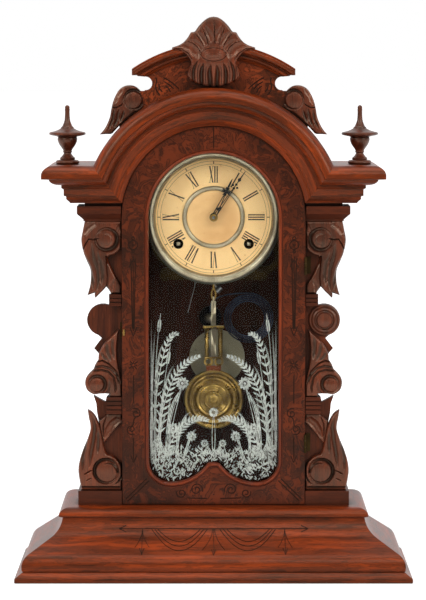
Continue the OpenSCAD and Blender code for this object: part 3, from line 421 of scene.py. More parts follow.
def grain_place(tree, run):
    """The position that the grain is drawn at: an attribute, or turned Object coordinates."""
    if run == "attribute":
        return put(tree, "ShaderNodeAttribute", {"attribute_name": "grain_at"}).outputs["Vector"]
    return put(tree, "ShaderNodeMapping", {"vector_type": "POINT"}, Vector=object_place(tree),
               Rotation=GRAIN_TURN[run]).outputs["Vector"]


def grimed_and_shaded(tree, colour, reach, strength):
    """The colour darkened in its corners, grime and painted shade, and the mask that says where."""
    dirty = put(tree, "ShaderNodeGroup", {"node_tree": grime_and_shade}, Colour=colour, Reach=reach,
                Strength=strength).outputs
    return dirty["Colour"], Wire(tree, dirty["Mask"])


def bump(tree, height, strength, distance):
    return put(tree, "ShaderNodeBump", Height=height, Strength=strength, Distance=distance).outputs[0]


def wood(name, run, deep, warm, band=0.009, figure=0.5, gloss=0.36, coat=0.08, grime_shade=0.6, burl=None,
         carved=False, shine=0.18, reach=0.006):
    """Shellacked wood. run says which way the grain goes; burl gives the figure's scale."""
    made, tree, shader = new_material(name)
    own = {"Scale": burl} if burl else {"Band_Width": band, "Figure": figure}
    figured = put(tree, "ShaderNodeGroup", {"node_tree": burl_figure if burl else walnut_grain},
                  Place=grain_place(tree, run), Deep=deep, Warm=warm, **own).outputs
    colour, height = figured["Colour"], Wire(tree, figured["Height"])
    if carved:
        # carved pieces are darker in their cuts, by the carving attribute: painted shade and grime
        depth = Wire(tree, put(tree, "ShaderNodeAttribute", {"attribute_name": "carving"}).outputs["Fac"])
        colour = mixed(tree, depth.ramp(0.05, 0.9) * 0.9, colour, (0.16, 0.13, 0.12, 1), "MULTIPLY")
    # darker in the corners: grime and painted shade
    colour, mask = grimed_and_shaded(tree, colour, reach, grime_shade)
    fill(tree, shader, Base_Color=colour, Roughness=height * 0.18 + gloss + mask * 0.35,
         Specular_IOR_Level=shine, Specular_Tint=(1.0, 0.72, 0.5, 1),  # shellac is amber
         Coat_Weight=coat, Coat_Roughness=0.22, Normal=bump(tree, height, 0.25, 0.0004))
    return made


DEEP_WALNUT, WARM_WALNUT = srgb(42, 14, 4), srgb(142, 53, 13)
DARK_DEEP, DARK_WARM = srgb(44, 17, 9), srgb(112, 50, 27)
INSIDE_DEEP, INSIDE_WARM = srgb(26, 7, 3), srgb(58, 20, 11)
BURL_DEEP, BURL_WARM = srgb(17, 7, 4), srgb(94, 36, 14)
run_walnut = wood("walnut_moulding", "attribute", DEEP_WALNUT, WARM_WALNUT, band=0.007, figure=0.7,
                  gloss=0.27,
                  coat=0.04, grime_shade=0.95, shine=0.26, reach=0.011)
across_walnut = wood("walnut_across", "across", DEEP_WALNUT, WARM_WALNUT)
# a darker copy of the walnut, painted shade for the capitals and blocks
shaded_walnut = wood("walnut_shaded", "across", srgb(40, 15, 7), srgb(84, 33, 15))
back_walnut = wood("walnut_front_to_back", "back", DEEP_WALNUT, WARM_WALNUT)
upright_walnut = wood("walnut_upright", "upright", DARK_DEEP, DARK_WARM)
turned_walnut = wood("walnut_turned", "upright", DARK_DEEP, DARK_WARM, band=0.006, gloss=0.28, coat=0.2,
                     shine=0.4)
carved_walnut = wood("walnut_carved", "upright", srgb(38, 13, 7), srgb(108, 45, 23), band=0.007, gloss=0.22,
                     coat=0.06, grime_shade=0.9, carved=True, shine=0.55, reach=0.008)
bead_walnut = wood("walnut_bead", "attribute", srgb(78, 28, 13), srgb(128, 52, 24), gloss=0.3, coat=0.15)
RAW = {"band": 0.014, "gloss": 0.55, "coat": 0.0, "grime_shade": 0.5}  # the inside was never polished
inside_wood = wood("case_inside", "upright", INSIDE_DEEP, INSIDE_WARM, **RAW)
inside_across = wood("case_inside_across", "across", INSIDE_DEEP, INSIDE_WARM, **RAW)
burl_veneer = wood("burl_veneer", "upright", BURL_DEEP, BURL_WARM, gloss=0.32, coat=0.1, burl=38.0)
crest_veneer = wood("crest_veneer", "across", srgb(22, 9, 4), srgb(136, 56, 24), gloss=0.32, coat=0.1,
                    burl=30.0)
print("wood finishes ready")

# %% [markdown]
# The movement is brass that has gone brown at its edges, blued steel springs and
# bare steel arbors. Metal keeps one Metallic level all over, 1 except on the
# blackened hands, and its age goes into the colour and the roughness: a slow
# cloud of tarnish, and fine marks from the polishing wheel.

# %% Metal finishes
def metal(name, clean, aged, gloss=0.28, age=0.5, cloud=60.0, brushed=0.0, full=1.0):
    """Metal with tarnish clouds; brushed is the depth of its polishing marks."""
    made, tree, shader = new_material(name)
    place = object_place(tree)
    tarnish = noise(tree, place, cloud, 5.0, Roughness=0.6)
    specks = noise(tree, place, cloud * 9)
    mask = (tarnish.ramp(0.36, 0.68) * age + specks.ramp(0.56, 0.72) * age * 0.5).clamp()
    height = specks * 0.5 + tarnish * 0.3
    if brushed:
        x, y, z = split(tree, place)
        height = height + noise(tree, joined(tree, x * 60.0, y * 900.0, z * 2600.0)) * brushed
    # the colour is darker in the corners: grime and painted shade
    fill(tree, shader, Base_Color=grimed_and_shaded(tree, mixed(tree, mask, clean, aged), 0.003, 0.5)[0],
         Metallic=full, Roughness=mask * 0.3 + gloss, Normal=bump(tree, height, 0.15, 0.0002))
    return made


old_brass = metal("old_brass", srgb(150, 118, 62), srgb(84, 60, 32), gloss=0.32, brushed=1.0)
bob_finish = metal("bob_brass", srgb(150, 122, 66), srgb(78, 58, 32), gloss=0.26, age=0.7)
# a darker copy of the brass, painted shade: the movement behind the dial lies in deep shadow, and the hinges,
# hand pipes and winding wheels take the same brass
shade_dark_brass = metal("shade_dark_brass", srgb(62, 48, 26), srgb(32, 24, 15), gloss=0.45, brushed=1.0)
dark_iron = metal("dark_iron", srgb(34, 30, 28), srgb(22, 18, 16), gloss=0.5)
nickel = metal("nickel", srgb(180, 168, 142), srgb(112, 98, 74), gloss=0.34, age=0.5, cloud=45.0)
copper_block = metal("copper_block", srgb(112, 62, 40), srgb(60, 32, 22), gloss=0.36)
bare_steel = metal("bare_steel", srgb(140, 140, 140), srgb(80, 74, 68), gloss=0.34, brushed=1.0)
blued_steel = metal("blued_steel", srgb(58, 68, 88), srgb(36, 34, 40), gloss=0.32, age=0.8)
black_hand = metal("blackened_hand", srgb(28, 26, 27), srgb(17, 14, 13), gloss=0.34, age=0.5, full=0.35)
print("metal finishes ready")

# %% [markdown]
# The dial is printed paper on a tin pan. Its tone follows the distance from the
# dial's centre, darker in the middle and lighter towards the rim, and old damp
# stains and slow noise break it. The tin rim behind it is dull.

# %% Paper finishes
def aged_paper(name, fresh, old, centre, radius, fox=0.5, tin=None):
    """Paper that is darker towards its centre and lighter at its rim, with faint fox marks and fibres."""
    made, tree, shader = new_material(name)
    place = object_place(tree)
    x, _, z = split(tree, place)
    dx, dz = x - centre[0] * MM, z - centre[1] * MM
    out = (dx * dx + dz * dz).math("SQRT") / (radius * MM)
    stains, foxing = noise(tree, place, 26.0, 4.0, Roughness=0.6), noise(tree, place, 240.0, 3.0)
    tone = out.ramp(0.55, 0.25) * 0.45 + (stains - 0.45) * 1.0
    colour = mixed(tree, (tone + foxing.ramp(0.62, 0.76) * fox).clamp(), fresh, old)
    if tin:
        # the bare rim of the pan shows outside the paper
        colour = mixed(tree, out.math("GREATER_THAN", tin), colour, srgb(84, 82, 66))
    fibres = noise(tree, place, 900.0, 3.0)
    # darker in its corners: grime and painted shade
    fill(tree, shader, Base_Color=grimed_and_shaded(tree, colour, 0.004, 0.45)[0], Roughness=fibres * 0.15 + 0.6,
         Normal=bump(tree, fibres, 0.1, 0.0002))
    return made


dial_paper = aged_paper("dial_paper", srgb(255, 211, 146), srgb(210, 144, 80), (0, dial_z), 66, tin=0.992)
label_paper = aged_paper("label_paper", srgb(142, 132, 104), srgb(84, 74, 52), (3.5, dial_z - 146.7), 30,
                         fox=0.9)
# the dark of the incised lines: painted shadow in the grooves
cut_shadow = wood("cut_shadow", "upright", srgb(24, 11, 7), srgb(40, 19, 12), gloss=0.55, coat=0.0, grime_shade=0.2)
printed_ink, ink_tree, ink_shader = new_material("printed_ink")
worn = noise(ink_tree, object_place(ink_tree), 420.0, 3.0)
fill(ink_tree, ink_shader, Roughness=worn * 0.2 + 0.5,
     Base_Color=mixed(ink_tree, worn.ramp(0.4, 0.75), srgb(44, 28, 18), srgb(96, 66, 40)))
print("paper finishes ready")

# %% [markdown]
# The door's picture was stencilled on the back of the glass in a frosty white
# paint. The brush left it thicker in some strokes than others, so its Alpha
# follows a streaky noise.

# %% Stencil paint
stencil_paint, paint_tree, paint_shader = new_material("stencil_white")
paint_place = object_place(paint_tree)
px, py, pz = split(paint_tree, paint_place)
streak = noise(paint_tree, joined(paint_tree, px * 600.0, py, pz * 300.0), 1.0, 3.0, Roughness=0.6)
cloudy = noise(paint_tree, paint_place, 70.0)
cover = streak.ramp(0.36, 0.52) * 0.5 + cloudy.ramp(0.3, 0.6) * 0.3 + 0.3
fill(paint_tree, paint_shader, Alpha=cover.clamp(), Roughness=cloudy * 0.2 + 0.6,
     Base_Color=mixed(paint_tree, streak, srgb(168, 168, 158), srgb(226, 228, 220)))
print("stencil paint ready")

# %% [markdown]
# Old window glass is thin, slightly wavy and clean enough to see the pendulum
# through. Metallic and Transmission Weight stay plain numbers, and the waviness
# is a weak bump.

# %% Glass finish
clear_glass, glass_tree, glass_shader = new_material("old_glass")
fill(glass_tree, glass_shader, Base_Color=(0.96, 0.98, 0.97, 1), Roughness=0.02, IOR=1.13,
     Transmission_Weight=1.0,
     Normal=bump(glass_tree, noise(glass_tree, object_place(glass_tree), 18.0, 1.0), 0.05, 0.001))
print("glass ready")

# %% [markdown]
# The CAD solids whose shape is already right only need a finish. Their meshes are
# left alone: a material goes into their slots. Grain follows the length of each
# board, as a joiner would cut it.

# %% Finishes on the CAD solids
FINISH = {
    across_walnut: ["skirt", "ogee_front", "base_cap", "base_back", "arch_moulding", "crest_mouldings",
                    "cornice_left", "cornice_right"],
    shaded_walnut: ["capitals", "reeded_blocks", "plinth_blocks"],
    upright_walnut: ["case_side_left", "case_side_right", "face_frame", "fret_left", "fret_right",
                     "wing_scrolls", "crest_shell", "door_bead"],
    back_walnut: ["ogee_left", "ogee_right", "hood"],
    carved_walnut: ["upper_scroll_left", "upper_scroll_right", "leaf_scroll_left", "leaf_scroll_right",
                    "lower_scroll_left", "lower_scroll_right"],
    turned_walnut: ["roundel", "finial_left", "finial_right"],
    inside_wood: ["backboard"],
    inside_across: ["case_floor"],
    burl_veneer: ["door_frame"],
    crest_veneer: ["crest_board"],
    clear_glass: ["door_glass"],
    shade_dark_brass: ["door_hinges", "case_hinges", "movement_plates"],
    old_brass: ["door_catch", "minute_wheel", "third_wheel", "escape_wheel", "time_wheel",
                "strike_wheel", "strike_second", "fly", "pendulum_rod"],
    bob_finish: ["pendulum_frame", "pendulum_bob"],
    nickel: ["dial_bezel"],
    bare_steel: ["verge", "hammer", "gong_stand"],
    blued_steel: ["mainsprings", "gong"],
    black_hand: ["minute_hand", "hour_hand"],
    dial_paper: ["dial_pan"],
    label_paper: ["back_label"],
}
for finish, names in FINISH.items():
    for name in names:
        slots = nodes[name].data.materials
        slots.clear()
        slots.append(finish)
undressed = set(nodes) - {name for names in FINISH.values() for name in names}
print("CAD nodes dressed:", len(nodes) - len(undressed), "undressed:", sorted(undressed))

# %% [markdown]
# Every moulding on this clock is one section pushed along a path: the ogee base,
# the cornice, the arch over the door and the raked mouldings of the crest. A
# plane cuts the real ones from a straight strip. Geometry Nodes do the same
# here: Curve to Mesh sweeps the section along a straight line first, and Set
# Position then carries each row to its place with a rule, so a mitre is simply
# the place where the rule sends the end of the strip.

# %% A strip of moulding, and the rules that bend it
def strip_tree(name, numbers, rule):
    """A tree that sweeps a section and bends it. rule gives x, y, z from the strip's
    share along, forward reach and height, all in metres."""
    group, given, gives = new_group(
        name, "GeometryNodeTree",
        [("Section", "shape", None), ("Rows", "whole", 2)]
        + [(label, "number", value) for label, value in numbers]
        + [("Finish", "finish", None)],
        [("Strip", "shape")])
    section = put(group, "GeometryNodeMeshToCurve", Mesh=given["Section"]).outputs[0]
    line = put(group, "GeometryNodeCurvePrimitiveLine", End=(1, 0, 0)).outputs[0]
    rows = put(group, "GeometryNodeResampleCurve", Curve=line, Count=given["Rows"]).outputs[0]
    swept = put(group, "GeometryNodeCurveToMesh", Curve=rows, Profile_Curve=section, Fill_Caps=True)
    along, back, up = split(group, put(group, "GeometryNodeInputPosition").outputs[0])
    reach = back * -1.0
    place = joined(group, *rule(given, along, reach, up))
    # the grain runs with the strip: its length, reach and height, kept as an attribute
    grain = joined(group, along * given["Length"], reach + given["Grain Shift"], up)
    kept = put(group, "GeometryNodeStoreNamedAttribute", {"data_type": "FLOAT_VECTOR", "domain": "POINT"},
               Geometry=swept.outputs[0], Name="grain_at", _3=grain)
    moved = put(group, "GeometryNodeSetPosition", Geometry=kept.outputs[0], Position=place).outputs[0]
    return hand_over(group, given, gives["Strip"], moved)


def run_tree(tree, name, seed_mesh, entries, finish):
    """Runs a Geometry Nodes tree once on a mesh and returns the plain mesh that it makes."""
    holder = bpy.data.objects.new(name + "_seed", seed_mesh)
    bpy.context.scene.collection.objects.link(holder)
    modifier = holder.modifiers.new("shape", "NODES")
    modifier.node_group = tree
    by_name = {item.name: item.identifier for item in tree.interface.items_tree
               if item.in_out == "INPUT"}
    for label, value in entries.items():
        modifier[by_name[label]] = value
    modifier[by_name["Finish"]] = finish
    bpy.context.view_layer.update()
    graph = bpy.context.evaluated_depsgraph_get()
    mesh = bpy.data.meshes.new_from_object(holder.evaluated_get(graph))
    bpy.data.objects.remove(holder)
    return mesh


def section_mesh(points):
    """A closed section as a ring of edges. x is the forward reach and y runs downwards,
    which is how Curve to Mesh stands a section up on a line along x."""
    mesh = bpy.data.meshes.new("section")
    ring = [(reach * MM, -height * MM, 0) for reach, height in points]
    mesh.from_pydata(ring, [(i, (i + 1) % len(ring)) for i in range(len(ring))], [])
    return mesh


print("strip and section tools ready")

# %% [markdown]
# A mesh that comes out of a tree or a list of points still needs its edges closed
# and its faces turned outwards. Wood also needs to know which way its grain runs,
# so every mesh keeps a `grain_at` position beside its real one. Each of these is
# one helper, because each piece below needs them in the same order.

# %% Sound solids with a grain
@contextmanager
def opened(mesh, target=None):
    """Opens a mesh for editing, and writes it back, or into another mesh, when the work is done."""
    work = bmesh.new()
    work.from_mesh(mesh)
    yield work
    work.to_mesh(target or mesh)
    work.free()


def make_solid(mesh, merge=1e-6):
    """Merges doubles and turns every face outwards."""
    with opened(mesh) as work:
        bmesh.ops.remove_doubles(work, verts=work.verts, dist=merge)
        bmesh.ops.recalc_face_normals(work, faces=work.faces)


def soften(mesh, degrees=32):
    """Smooth shading, with every edge sharper than this kept crisp."""
    mesh.polygons.foreach_set("use_smooth", [True] * len(mesh.polygons))
    mesh.set_sharp_from_angle(angle=math.radians(degrees))


def close_run(mesh, left=False):
    """A run of moulding as a sound solid. A left run is the mirror of the right one."""
    if left:
        mesh.transform(MIRROR)
    make_solid(mesh)
    soften(mesh)
    return mesh


def give_grain(mesh, run, shift=0.0):
    """Stores the position that the grain is drawn at, with x along the board."""
    order = {"x": (0, 1, 2), "y": (1, 0, 2), "z": (2, 0, 1)}[run]
    if "grain_at" in mesh.attributes:
        mesh.attributes.remove(mesh.attributes["grain_at"])
    place = np.zeros(len(mesh.vertices) * 3)
    mesh.vertices.foreach_get("co", place)
    kept = mesh.attributes.new("grain_at", "FLOAT_VECTOR", "POINT")
    kept.data.foreach_set("vector", (place.reshape(-1, 3)[:, order] + shift).ravel())


def plain_mesh(name, points, faces, finish, grain):
    """A sound solid from points in millimetres, with its finish and the run of its grain."""
    mesh = bpy.data.meshes.new(name)
    mesh.from_pydata([tuple(c * MM for c in point) for point in points], [], faces)
    mesh.materials.append(finish)
    give_grain(mesh, grain)
    return close_run(mesh)


print("mesh tools ready")

# %% [markdown]
# A finished mesh goes into the scene on the body that carries it, and the CAD
# nodes it stands for are hidden. Pieces that a joiner would glue up from parts are
# joined into one mesh first.

# %% Placing a piece
def place_piece(name, mesh, body, slot, *replaced):
    """Puts a finished mesh in the scene, on its body, standing for the CAD nodes named."""
    made = bpy.data.objects.new(name, mesh)
    bpy.context.scene.collection.objects.link(made)
    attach(made, body)
    if replaced:
        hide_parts(*replaced)
    print("  %s: %d faces" % (name, len(mesh.polygons)))
    return made


def join_meshes(name, meshes):
    """One mesh out of several, keeping their materials and attributes."""
    holders = []
    for mesh in meshes:
        holder = bpy.data.objects.new(name, mesh)
        bpy.context.scene.collection.objects.link(holder)
        holders.append(holder)
    with bpy.context.temp_override(active_object=holders[0], object=holders[0],
                                   selected_objects=holders, selected_editable_objects=holders):
        bpy.ops.object.join()
    whole = holders[0].data
    bpy.data.objects.remove(holders[0])
    whole.name = name
    return whole


class Sheet:
    """Flat shapes in x and z, gathered into one mesh. Each may lie on a coat of its own."""

    def __init__(self):
        self.points, self.faces, self.coat = [], [], 0

    def add(self, corners, depth):
        start = len(self.points)
        self.points += [(x * MM, depth * MM, z * MM) for x, z in corners]
        self.faces.append(tuple(range(start, len(self.points))))

    def mesh(self, name, finish):
        made = bpy.data.meshes.new(name)
        made.from_pydata(self.points, [], self.faces)
        made.materials.append(finish)
        return made


MIRROR = Matrix.Scale(-1, 4, (1, 0, 0))
print("placing tools ready")

# %% [markdown]
# The base is four boards. An ogee is a hollow above and a round below: its two
# arcs meet in one slope. The front run and the side runs share the section, and
# both ends of the front run fall where reach to the side equals reach to the
# front, which cuts the mitre.

# %% The ogee base
def oval(x, z, wide, high, start, end, steps):
    """Points on an oval, from one angle in degrees to another, as (reach, height) or (x, z)."""
    turn = [math.radians(start + (end - start) * i / steps) for i in range(steps + 1)]
    return [(x + wide * math.cos(a), z + high * math.sin(a)) for a in turn]


def arc(x, z, radius, *turn):
    return oval(x, z, radius, radius, *turn)


def mitred_rule(given, along, reach, up):
    """Both ends slide sideways and forwards with the section's reach."""
    def end(which):
        x = reach * given[which + " Slide X"] + given[which + " X"]
        y = reach * given[which + " Slide Y"] + given[which + " Y"]
        return x, y
    (x0, y0), (x1, y1) = end("Start"), end("End")
    return along.blend(x0, x1), along.blend(y0, y1), up


ENDS = [(which + part, 0.0) for which in ("Start", "End") for part in (" X", " Y", " Slide X", " Slide Y")]
mitred_strip = strip_tree("mitred_strip", [("Length", 0.3), ("Grain Shift", 0.0)] + ENDS, mitred_rule)


RUNS = {"front": 0.0, "left": 0.57, "right": 0.31}  # each board is cut from its own part of the plank


def mitred_board(name, section, run):
    """One board of a moulded box: its front, left or right run."""
    span = max(reach for reach, _ in section)
    corner = {" X": 0.0, " Y": base_set * MM, " Slide X": 1.0, " Slide Y": -1.0}
    if run == "front":
        ends, length = (dict(corner, **{" Slide X": -1.0}), corner), 2 * span
    else:
        ends, length = (corner, {" X": 0.0, " Y": rear * MM, " Slide X": 1.0, " Slide Y": 0.0}), rear + span
    entries = {which + part: value for which, end in zip(("Start", "End"), ends) for part,
               value in end.items()}
    entries.update({"Length": length * MM, "Grain Shift": RUNS[run]})
    return close_run(run_tree(mitred_strip, name, section_mesh(section), entries, run_walnut), run == "left")


rear = box("backboard")[1][1]
base_set = base_half - rear
skirt_h = skirt_hi[2]
cap_lo, cap_hi = box("base_cap")
ogee_top, base_h = cap_lo[2], cap_hi[2]
nose, waist = base_half - 6.5, base_half - 45
ogee_section = ([(nose - 1.6, skirt_h)] + arc(nose - 14, 14.5, 14, -17, 57, 18)
                + arc(waist + 25, ogee_top + 2.5, 25, 237, 186, 20)
                + [(waist + 0.15, ogee_top), (waist - 14, ogee_top), (waist - 14, skirt_h)])
for run in RUNS:
    place_piece("ogee_board_" + run, mitred_board("ogee", ogee_section, run), "case", "walnut", "ogee_" + run)

# %% [markdown]
# Under the ogee lies the skirt, a plain board with a long chamfer, and over it the
# cap, a board with a rounded nose. They are the same three mitred runs with other
# sections, so one loop makes both.

# %% The skirt and the cap of the base
skirt_w = 43.6
skirt_section = [(base_half - skirt_w, 0), (base_half - 0.6, 0), (base_half, 0.6),
                 (base_half, skirt_h * 0.40), (base_half - 0.4, skirt_h * 0.47), (base_half - 8.4, skirt_h),
                 (base_half - skirt_w, skirt_h)]
cap_tip = base_half - 41.2
cap_section = ([(cap_tip - 60, ogee_top), (cap_tip - 2.4, ogee_top), (cap_tip - 0.3, ogee_top + 1.0)]
               + oval(cap_tip - 10.6, ogee_top + 2.2, 10.6, base_h - ogee_top - 2.2, 0, 90, 14)
               + [(cap_tip - 60, base_h)])
for name, section, node in (("skirt_board", skirt_section, "skirt"), ("cap_board", cap_section, "base_cap")):
    runs = [mitred_board(name, section, run) for run in RUNS]
    place_piece(name, join_meshes(name, runs), "case", "walnut", node)

# %% [markdown]
# The cornice and the arch over the door share one section: a lip, a thin bead, a
# flat, a deep hollow, and a bold round on top. The arch is the same strip bent
# round the dial's centre, so its rule turns length into an angle. Where arch and
# cornice meet, every line of the section has to arrive at the same point: that
# is where a circle of its radius crosses its height, and both rules use it.

# %% Section of the cornice and the arch
front_plane = -4.5
cornice_lo, cornice_hi = box("cornice_right")
cornice_z, cornice_top = cornice_lo[2], cornice_hi[2]
cornice_h = cornice_top - cornice_z
arch_r = 91.0
crown = cornice_h - 12.9
upper_section = ([(19.5, 0), (19.5, 0.7)]
                 + [(y, z) for z, y in oval(5.4, 27.1, 4.6, 4.2, 255, 290, 3)]
                 + [(23.6, 6.9), (24.9, 7.3), (25.2, 7.9), (25.2, 13.4), (25.6, 14.1), (26.8, 14.6)]
                 + [(27.4, 15.2), (27.4, 17.9)]
                 + [(y, z) for z, y in oval(24.4, 27.4, 6.5, 11.6, 180, 90, 14)]
                 + [(40.6, crown - 0.6), (46, crown), (46, crown + 3.6)]
                 + [(y, z) for z, y in oval(crown + 3.6, 34.2, 9.3, 11.8, 90, 0, 16)]
                 + [(-front_plane, cornice_h), (-front_plane, 0)])
front_set = 121.4


def arch_rule(given, along, reach, up):
    """Bends the strip round the dial; each line starts and ends on the cornice mitre."""
    radius = up + given["Inner Radius"]
    rise = (up + given["Cornice Rise"]) / radius
    start = rise.math("ARCSINE")
    angle = along.blend(start, start * -1.0 + math.pi)
    x = angle.math("COSINE") * radius
    z = angle.math("SINE") * radius + given["Centre Height"]
    return x, reach * -1.0, z


arch_strip = strip_tree("arch_strip", [("Length", 0.35), ("Grain Shift", 0.8), ("Inner Radius", 0.091),
                                       ("Cornice Rise", 0.0155), ("Centre Height", 0.351)], arch_rule)
# where arch and cornice meet, both need these two numbers
mitre = {"Inner Radius": arch_r * MM, "Cornice Rise": (cornice_z - dial_z) * MM}
arch_mesh = run_tree(arch_strip, "arch_moulding_strip", section_mesh(upper_section),
                     {**mitre, "Rows": 97, "Centre Height": dial_z * MM, "Length": 0.345,
                      "Grain Shift": 0.8}, run_walnut)
place_piece("arch_strip", close_run(arch_mesh), "case", "walnut", "arch_moulding")

# %% [markdown]
# Each cornice is a short front run, a side run mitred to it, and a block behind
# them that fills the space up to the hood. The left one is the mirror of the
# right one.

# %% The two cornices
def cornice_rule(given, along, reach, up):
    """From the mitre with the arch out to the corner of the cornice."""
    radius = up + given["Inner Radius"]
    rise = up + given["Cornice Rise"]
    start = (radius * radius - rise * rise).math("SQRT")
    x = along.blend(start, reach + given["Front Set"])
    return x, reach * -1.0, up + given["Cornice Height"]


cornice_strip = strip_tree("cornice_strip", [("Length", 0.06), ("Grain Shift", 0.2),
                                             ("Inner Radius", 0.091), ("Cornice Rise", 0.0155),
                                             ("Cornice Height", 0.3665), ("Front Set", 0.1214)],
                           cornice_rule)
side_section = [(reach, height + cornice_z) for reach, height in upper_section]


def slab_mesh(outline, y0, y1, finish, name="slab", grain="x"):
    """A board: an outline in x and z, cut from depth y0 back to y1."""
    count = len(outline)
    faces = [list(range(count)), list(range(2 * count - 1, count - 1, -1))]
    faces += [(i, i + count, (i + 1) % count + count, (i + 1) % count) for i in range(count)]
    return plain_mesh(name, [(x, y, z) for y in (y0, y1) for x, z in outline], faces, finish, grain)


def cornice_box():
    """The solid block behind the two runs, hollowed to the hood."""
    hood_r = 94.0
    reach = -front_plane + front_set
    angles = [math.asin((z - dial_z) / hood_r) for z in np.linspace(cornice_z, cornice_top, 9)]
    inner = [(hood_r * math.cos(a), dial_z + hood_r * math.sin(a)) for a in angles]
    return [(reach, cornice_top), (reach, cornice_z)] + inner


def cornice_meshes():
    front = run_tree(cornice_strip, "cornice_front", section_mesh(upper_section),
                     {**mitre, "Rows": 2, "Cornice Height": cornice_z * MM, "Front Set": front_set * MM,
                      "Length": 0.06}, run_walnut)
    side_entries = {"Start X": front_set * MM, "Start Y": 0.0, "Start Slide X": 1.0, "Start Slide Y": -1.0,
                    "End X": front_set * MM, "End Y": rear * MM, "End Slide X": 1.0, "End Slide Y": 0.0,
                    "Length": 0.12, "Grain Shift": 0.4}
    side = run_tree(mitred_strip, "cornice_side", section_mesh(side_section), side_entries, run_walnut)
    block = slab_mesh(cornice_box(), front_plane, rear, run_walnut, "cornice_block", "y")
    return [front, side, block]


for side in ("right", "left"):
    parts = [close_run(part, side == "left") for part in cornice_meshes()]
    place_piece("cornice_run_" + side, join_meshes("cornice", parts), "case", "walnut", "cornice_" + side)

# %% [markdown]
# The raked mouldings of the crest lie on one big arc that falls away from the
# shell. Each is sawn off upright at its free end, and its lower lines stop
# sooner, on the level foot where the crest board is cut away. The rule finds the
# angle at which a circle reaches either cut, and takes the one that comes first.
# The crest board behind keeps its CAD outline in burl veneer.

# %% The raked mouldings
crest_face = -22.0
rake_r, rake_x, rake_end = 144.0, -2.2, 79.3
rake_z = top_z - 169.1
rake_section = ([(0, -14.5), (2, -14.5), (3.6, -12.5)]
                + [(y, z) for z, y in arc(-9.6, 4.2, 2.2, 200, 60, 8)] + [(8.4, -8)]
                + [(y, z) for z, y in arc(-3.6, 9, 3.6, 190, 60, 12)]
                + [(12.6, -1.2), (13, -0.8), (13, -0.2), (12.8, 0), (0, 0)])


def rake_rule(given, along, reach, up):
    radius = up + given["Radius"]

    def angle_at(cut):
        return (Wire(radius.tree, given[cut]) - given["Centre X"]).math("DIVIDE", radius).math("ARCCOSINE")

    foot = (Wire(radius.tree, given["Foot Height"]) - given["Centre Height"]).math("DIVIDE", radius)
    free = angle_at("Free Cut").math("MAXIMUM", foot.math("ARCSINE"))
    angle = along.blend(angle_at("Shell Cut"), free)
    x = angle.math("COSINE") * radius + given["Centre X"]
    z = angle.math("SINE") * radius + given["Centre Height"]
    return x, reach * -1.0 + given["Face"], z


rake_strip = strip_tree("rake_strip", [("Length", 0.09), ("Grain Shift", 0.1), ("Radius", 0.144),
                                       ("Centre X", -0.0022), ("Centre Height", 0.379),
                                       ("Shell Cut", 0.03), ("Free Cut", 0.0793),
                                       ("Foot Height", 0.4915), ("Face", -0.022)],
                        rake_rule)
rake_entries = {"Rows": 25, "Radius": rake_r * MM, "Centre X": rake_x * MM, "Centre Height": rake_z * MM,
                "Shell Cut": 0.022, "Free Cut": rake_end * MM, "Foot Height": (top_z - 56.6) * MM,
                "Face": crest_face * MM}
rakes = [close_run(run_tree(rake_strip, "rake", section_mesh(rake_section), rake_entries, run_walnut), left)
         for left in (False, True)]
place_piece("raked_mouldings", join_meshes("raked_mouldings", rakes), "case", "walnut", "crest_mouldings")

# %% [markdown]
# The brackets, the wings and the shell are carved. A carver saws the outline,
# then lowers the face with gouges: round cuts that taper at both ends, fine V
# cuts, and flat buttons left standing as the eyes of the scrolls. The same order
# works here. A sawn outline is filled with a fine net of points, every cut
# lowers the points near it, and the net is then closed at its back and sides.

# %% Outlines
def flow(points, steps=6):
    """A smooth line through the points, for an edge that was drawn by hand."""
    line = []
    for i in range(len(points) - 1):
        a, b = points[max(i - 1, 0)], points[i]
        c, d = points[i + 1], points[min(i + 2, len(points) - 1)]
        for k in range(steps):
            t = k / steps
            line.append(tuple(0.5 * (2 * b[n] + (c[n] - a[n]) * t
                                     + (2 * a[n] - 5 * b[n] + 4 * c[n] - d[n]) * t * t
                                     + (3 * b[n] - a[n] - 3 * c[n] + d[n]) * t ** 3) for n in (0, 1)))
    return line + [tuple(points[-1])]


def even_ring(outline, spacing):
    """The closed outline with points no further apart than spacing."""
    ring = []
    for i, (x0, z0) in enumerate(outline):
        x1, z1 = outline[(i + 1) % len(outline)]
        length = math.hypot(x1 - x0, z1 - z0)
        if length < 1e-6:
            continue
        steps = max(1, math.ceil(length / spacing))
        ring += [(x0 + (x1 - x0) * k / steps, z0 + (z1 - z0) * k / steps) for k in range(steps)]
    return ring


def to_line(spots, line, closed=False):
    """For each spot: distance to a line, and how far along it the nearest place is, 0 to 1."""
    line = np.array(line, float)
    if closed:
        line = np.vstack([line, line[:1]])
    start, step = line[:-1], np.diff(line, axis=0)
    length = np.hypot(*step.T)
    travelled = np.concatenate([[0], np.cumsum(length)])
    best = np.full(len(spots), 1e9)
    share = np.zeros(len(spots))
    for a, d, run, before in zip(start, step, length, travelled):
        if run < 1e-9:
            continue
        t = np.clip(((spots - a) @ d) / run ** 2, 0, 1)
        gap = np.hypot(*(spots - a - t[:, None] * d).T)
        closer = gap < best
        best[closer] = gap[closer]
        share[closer] = (before + t[closer] * run) / travelled[-1]
    return best, share


def within(spots, outline):
    """True for spots inside a closed outline."""
    x, z = spots.T
    inside = np.zeros(len(spots), bool)
    for i, (x0, z0) in enumerate(outline):
        x1, z1 = outline[(i + 1) % len(outline)]
        if z0 == z1:
            continue
        crosses = (z0 > z) != (z1 > z)
        inside ^= crosses & (x < (x1 - x0) * (z - z0) / (z1 - z0) + x0)
    return inside


print("outline tools ready")
